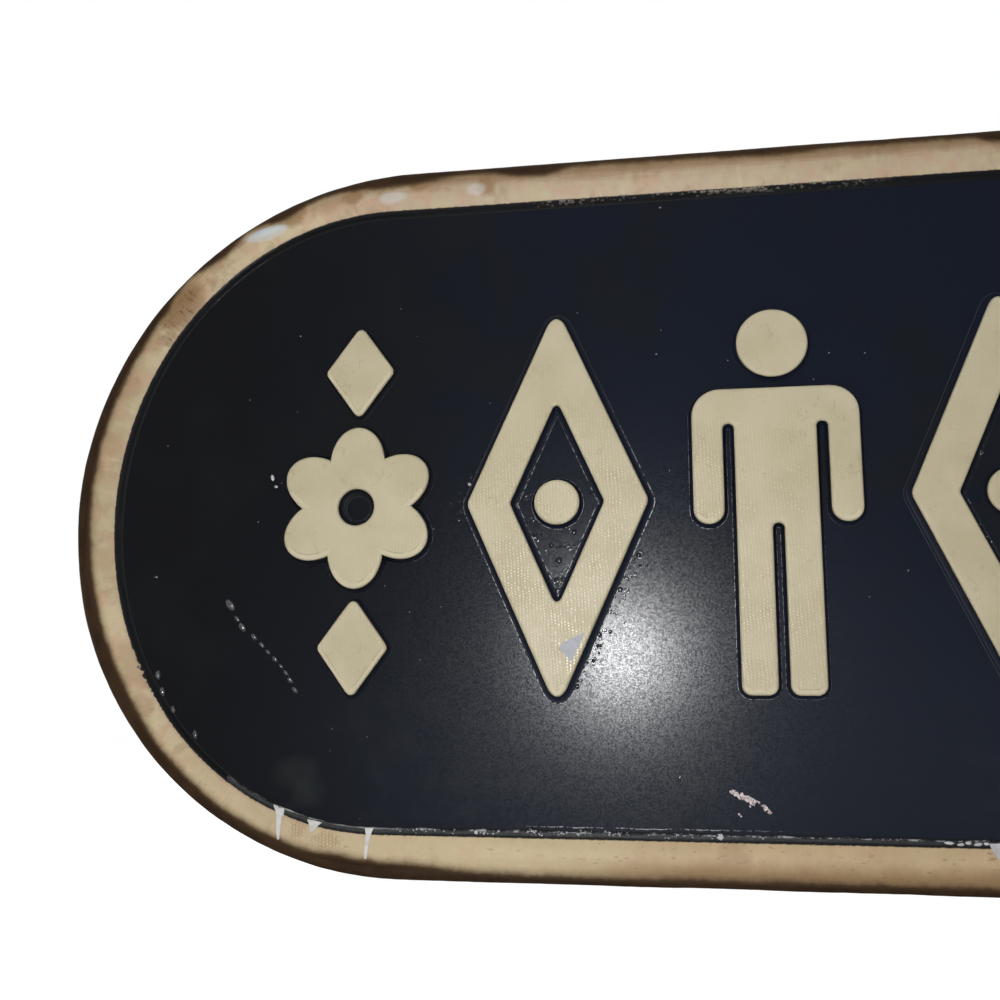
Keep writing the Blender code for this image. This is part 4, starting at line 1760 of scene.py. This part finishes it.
# flakes and smudges along the rim's foot, and scraped paint on the ground, in millimetres
flakeSpots = [
    (37.9, -87.6, 2.6, 0.9),
    (40.6, -87.9, 1.9, 0.8),
    (42.4, -87.5, 1.6, 1.0),
    (44.6, -87.8, 2.4, 0.9),
    (46.6, -87.6, 1.6, 0.9),
    (-17.4, -87.4, 2.0, 1.7),
    (-80.4, -87.6, 1.2, 1.1),
]
flakes = [(x, z, width, height, 0.32, chance.uniform(-12, 12)) for x, z, width, height in flakeSpots]
scatter(addLump(2), flakes, "rimFlakes", chipFinish, "rim", lumpDepths["flakes"])

scrapeLine = [(-14.2, -76.2), (-12.6, -76.9), (-10.6, -77.9), (-9.2, -78.8)]
scrapeLine += [(-7.6, -78.6), (-6.0, -80.0), (-4.6, -81.1)]
scrapes = [(-12.5, -81.8, 0.9, 0.6, 0.12, 60), (-12.0, -82.3, 0.6, 0.5, 0.12, 20)]
for number in range(66):
    start = chance.randrange(6)
    part = chance.random()
    (x1, z1), (x2, z2) = scrapeLine[start], scrapeLine[start + 1]
    spread = 0.42 if 1 <= start <= 3 else 0.26
    size = chance.uniform(0.5, 1.5)
    x = x1 + (x2 - x1) * part + chance.gauss(0, spread)
    z = z1 + (z2 - z1) * part + chance.gauss(0, spread)
    scrapes.append((x, z, size, size * chance.uniform(0.4, 0.8), 0.12, chance.uniform(10, 65)))
scatter(addLump(1), scrapes, "scrapedPaint", scrapeFinish, "ground", lumpDepths["ground"])

# where smudges lie along the foot, from and to, and how many
smudgeRuns = [(-104, -86, 16), (-80, -72, 16), (-67, -62, 18), (-59, -56, 8)]
smudgeRuns += [(-54, -50, 18), (-47, -40, 22), (-36, -24, 12), (-22, 0, 8)]
smudges = []
for start, end, count in smudgeRuns:
    for number in range(count):
        size = chance.uniform(0.28, 0.85)
        x, z = chance.uniform(start, end), -87.25 + chance.gauss(0, 0.34)
        height = size * chance.uniform(0.4, 1.1)
        smudges.append((x, z, size, height, size * 0.28, chance.uniform(-40, 40)))
scatter(addLump(1), smudges, "footSmudges", smudgeFinish, "rim", lumpDepths["foot"])
chips = [(-141.2, 9.5, 2.0, 1.1, 0.35, 70), (-140.0, 6.9, 1.2, 0.8, 0.35, 20)]
chips.append((-83.4, 6.0, 1.1, 0.8, 0.35, 40))
scatter(addLump(2), chips, "edgeChips", chipFinish, "ground", lumpDepths["edge"])
print("beads, blisters and drips made")


# floor, world and lamps
stageSetup = {
    "floor": -0.1002,
    "size": 6.0,
    "colour": (0.85, 0.85, 0.84, 1),
    "rough": 0.9,
    "glow": 1.165,
    "glowShare": 0.82,
    "worldStrength": 0.12,
    # each lamp: its name, place, width, power and the point it looks at
    "lamps": (
        ("overhead", (-0.35, -1.1, 1.3), 1.2, 3.6, (-0.04, 0, 0)),
        ("sideLamp", (1.2, -0.9, 0.5), 1.0, 1.1, (-0.04, 0, 0)),
        ("backLamp", (-0.5, 1.2, 0.8), 1.0, 16.0, (0, 0, 0)),
        ("topLamp", (0, 0.3, 1.4), 1.0, 9.0, (0, 0, 0.05)),
        ("leftLamp", (-1.3, 0.3, 0.2), 0.8, 4.5, (-0.15, 0, 0)),
        ("rightLamp", (1.3, 0.3, 0.2), 0.8, 4.5, (0.15, 0, 0)),
        ("nearLamp", (-0.0647, -0.330, -0.0213), 0.030, 0.53, (-0.043, 0, -0.041)),
        ("glintLamp", (-0.0647, -0.331, -0.0213), 0.030, 1.30, (-0.043, 0, -0.041)),
    ),
}


def cameraSees(tree):
    # 1 for rays from the camera and in reflections, where the stage is plain white
    path = tree.nodes.new("ShaderNodeLightPath")
    seen = Wire(tree, path.outputs["Is Camera Ray"])
    seen = seen.maths("MAXIMUM", Wire(tree, path.outputs["Is Glossy Ray"]))
    return seen.maths("MAXIMUM", Wire(tree, path.outputs["Is Transmission Ray"]))


def buildStage(setup):
    begin()
    bpy.ops.mesh.primitive_plane_add(size=setup["size"], location=(0, 0, setup["floor"]))
    floor = bpy.context.object
    floor.name = "studioFloor"
    finish = bpy.data.materials.new("paleFloor")
    finish.use_nodes = True
    tree = finish.node_tree
    tree.nodes["Principled BSDF"].inputs["Base Color"].default_value = setup["colour"]
    tree.nodes["Principled BSDF"].inputs["Roughness"].default_value = setup["rough"]
    glow = tree.nodes.new("ShaderNodeEmission")
    mix = tree.nodes.new("ShaderNodeMixShader")
    glow.inputs["Strength"].default_value = setup["glow"]
    tree.links.new((cameraSees(tree) * setup["glowShare"]).socket, mix.inputs[0])
    tree.links.new(tree.nodes["Principled BSDF"].outputs[0], mix.inputs[1])
    tree.links.new(glow.outputs[0], mix.inputs[2])
    tree.links.new(mix.outputs[0], tree.nodes["Material Output"].inputs["Surface"])
    floor.data.materials.append(finish)

    world = bpy.data.worlds.new("studio")
    bpy.context.scene.world = world
    world.use_nodes = True
    tree = world.node_tree
    background = tree.nodes["Background"]
    background.inputs["Color"].default_value = (1, 1, 1, 1)
    strength = cameraSees(tree) * (1 - setup["worldStrength"]) + setup["worldStrength"]
    tree.links.new(strength.socket, background.inputs["Strength"])

    for name, place, size, power, target in setup["lamps"]:
        begin()
        bpy.ops.object.light_add(type="AREA", location=place)
        lamp = bpy.context.object
        lamp.name = name
        lamp.data.shape = "DISK"
        lamp.data.size = size
        lamp.data.energy = power
        lamp.visible_camera = False
        lamp.visible_diffuse = name != "glintLamp"
        aim = Vector(target) - lamp.location
        lamp.rotation_euler = aim.to_track_quat("-Z", "Y").to_euler()


buildStage(stageSetup)
bpy.context.scene.view_settings.view_transform = "Standard"

print("scene made")
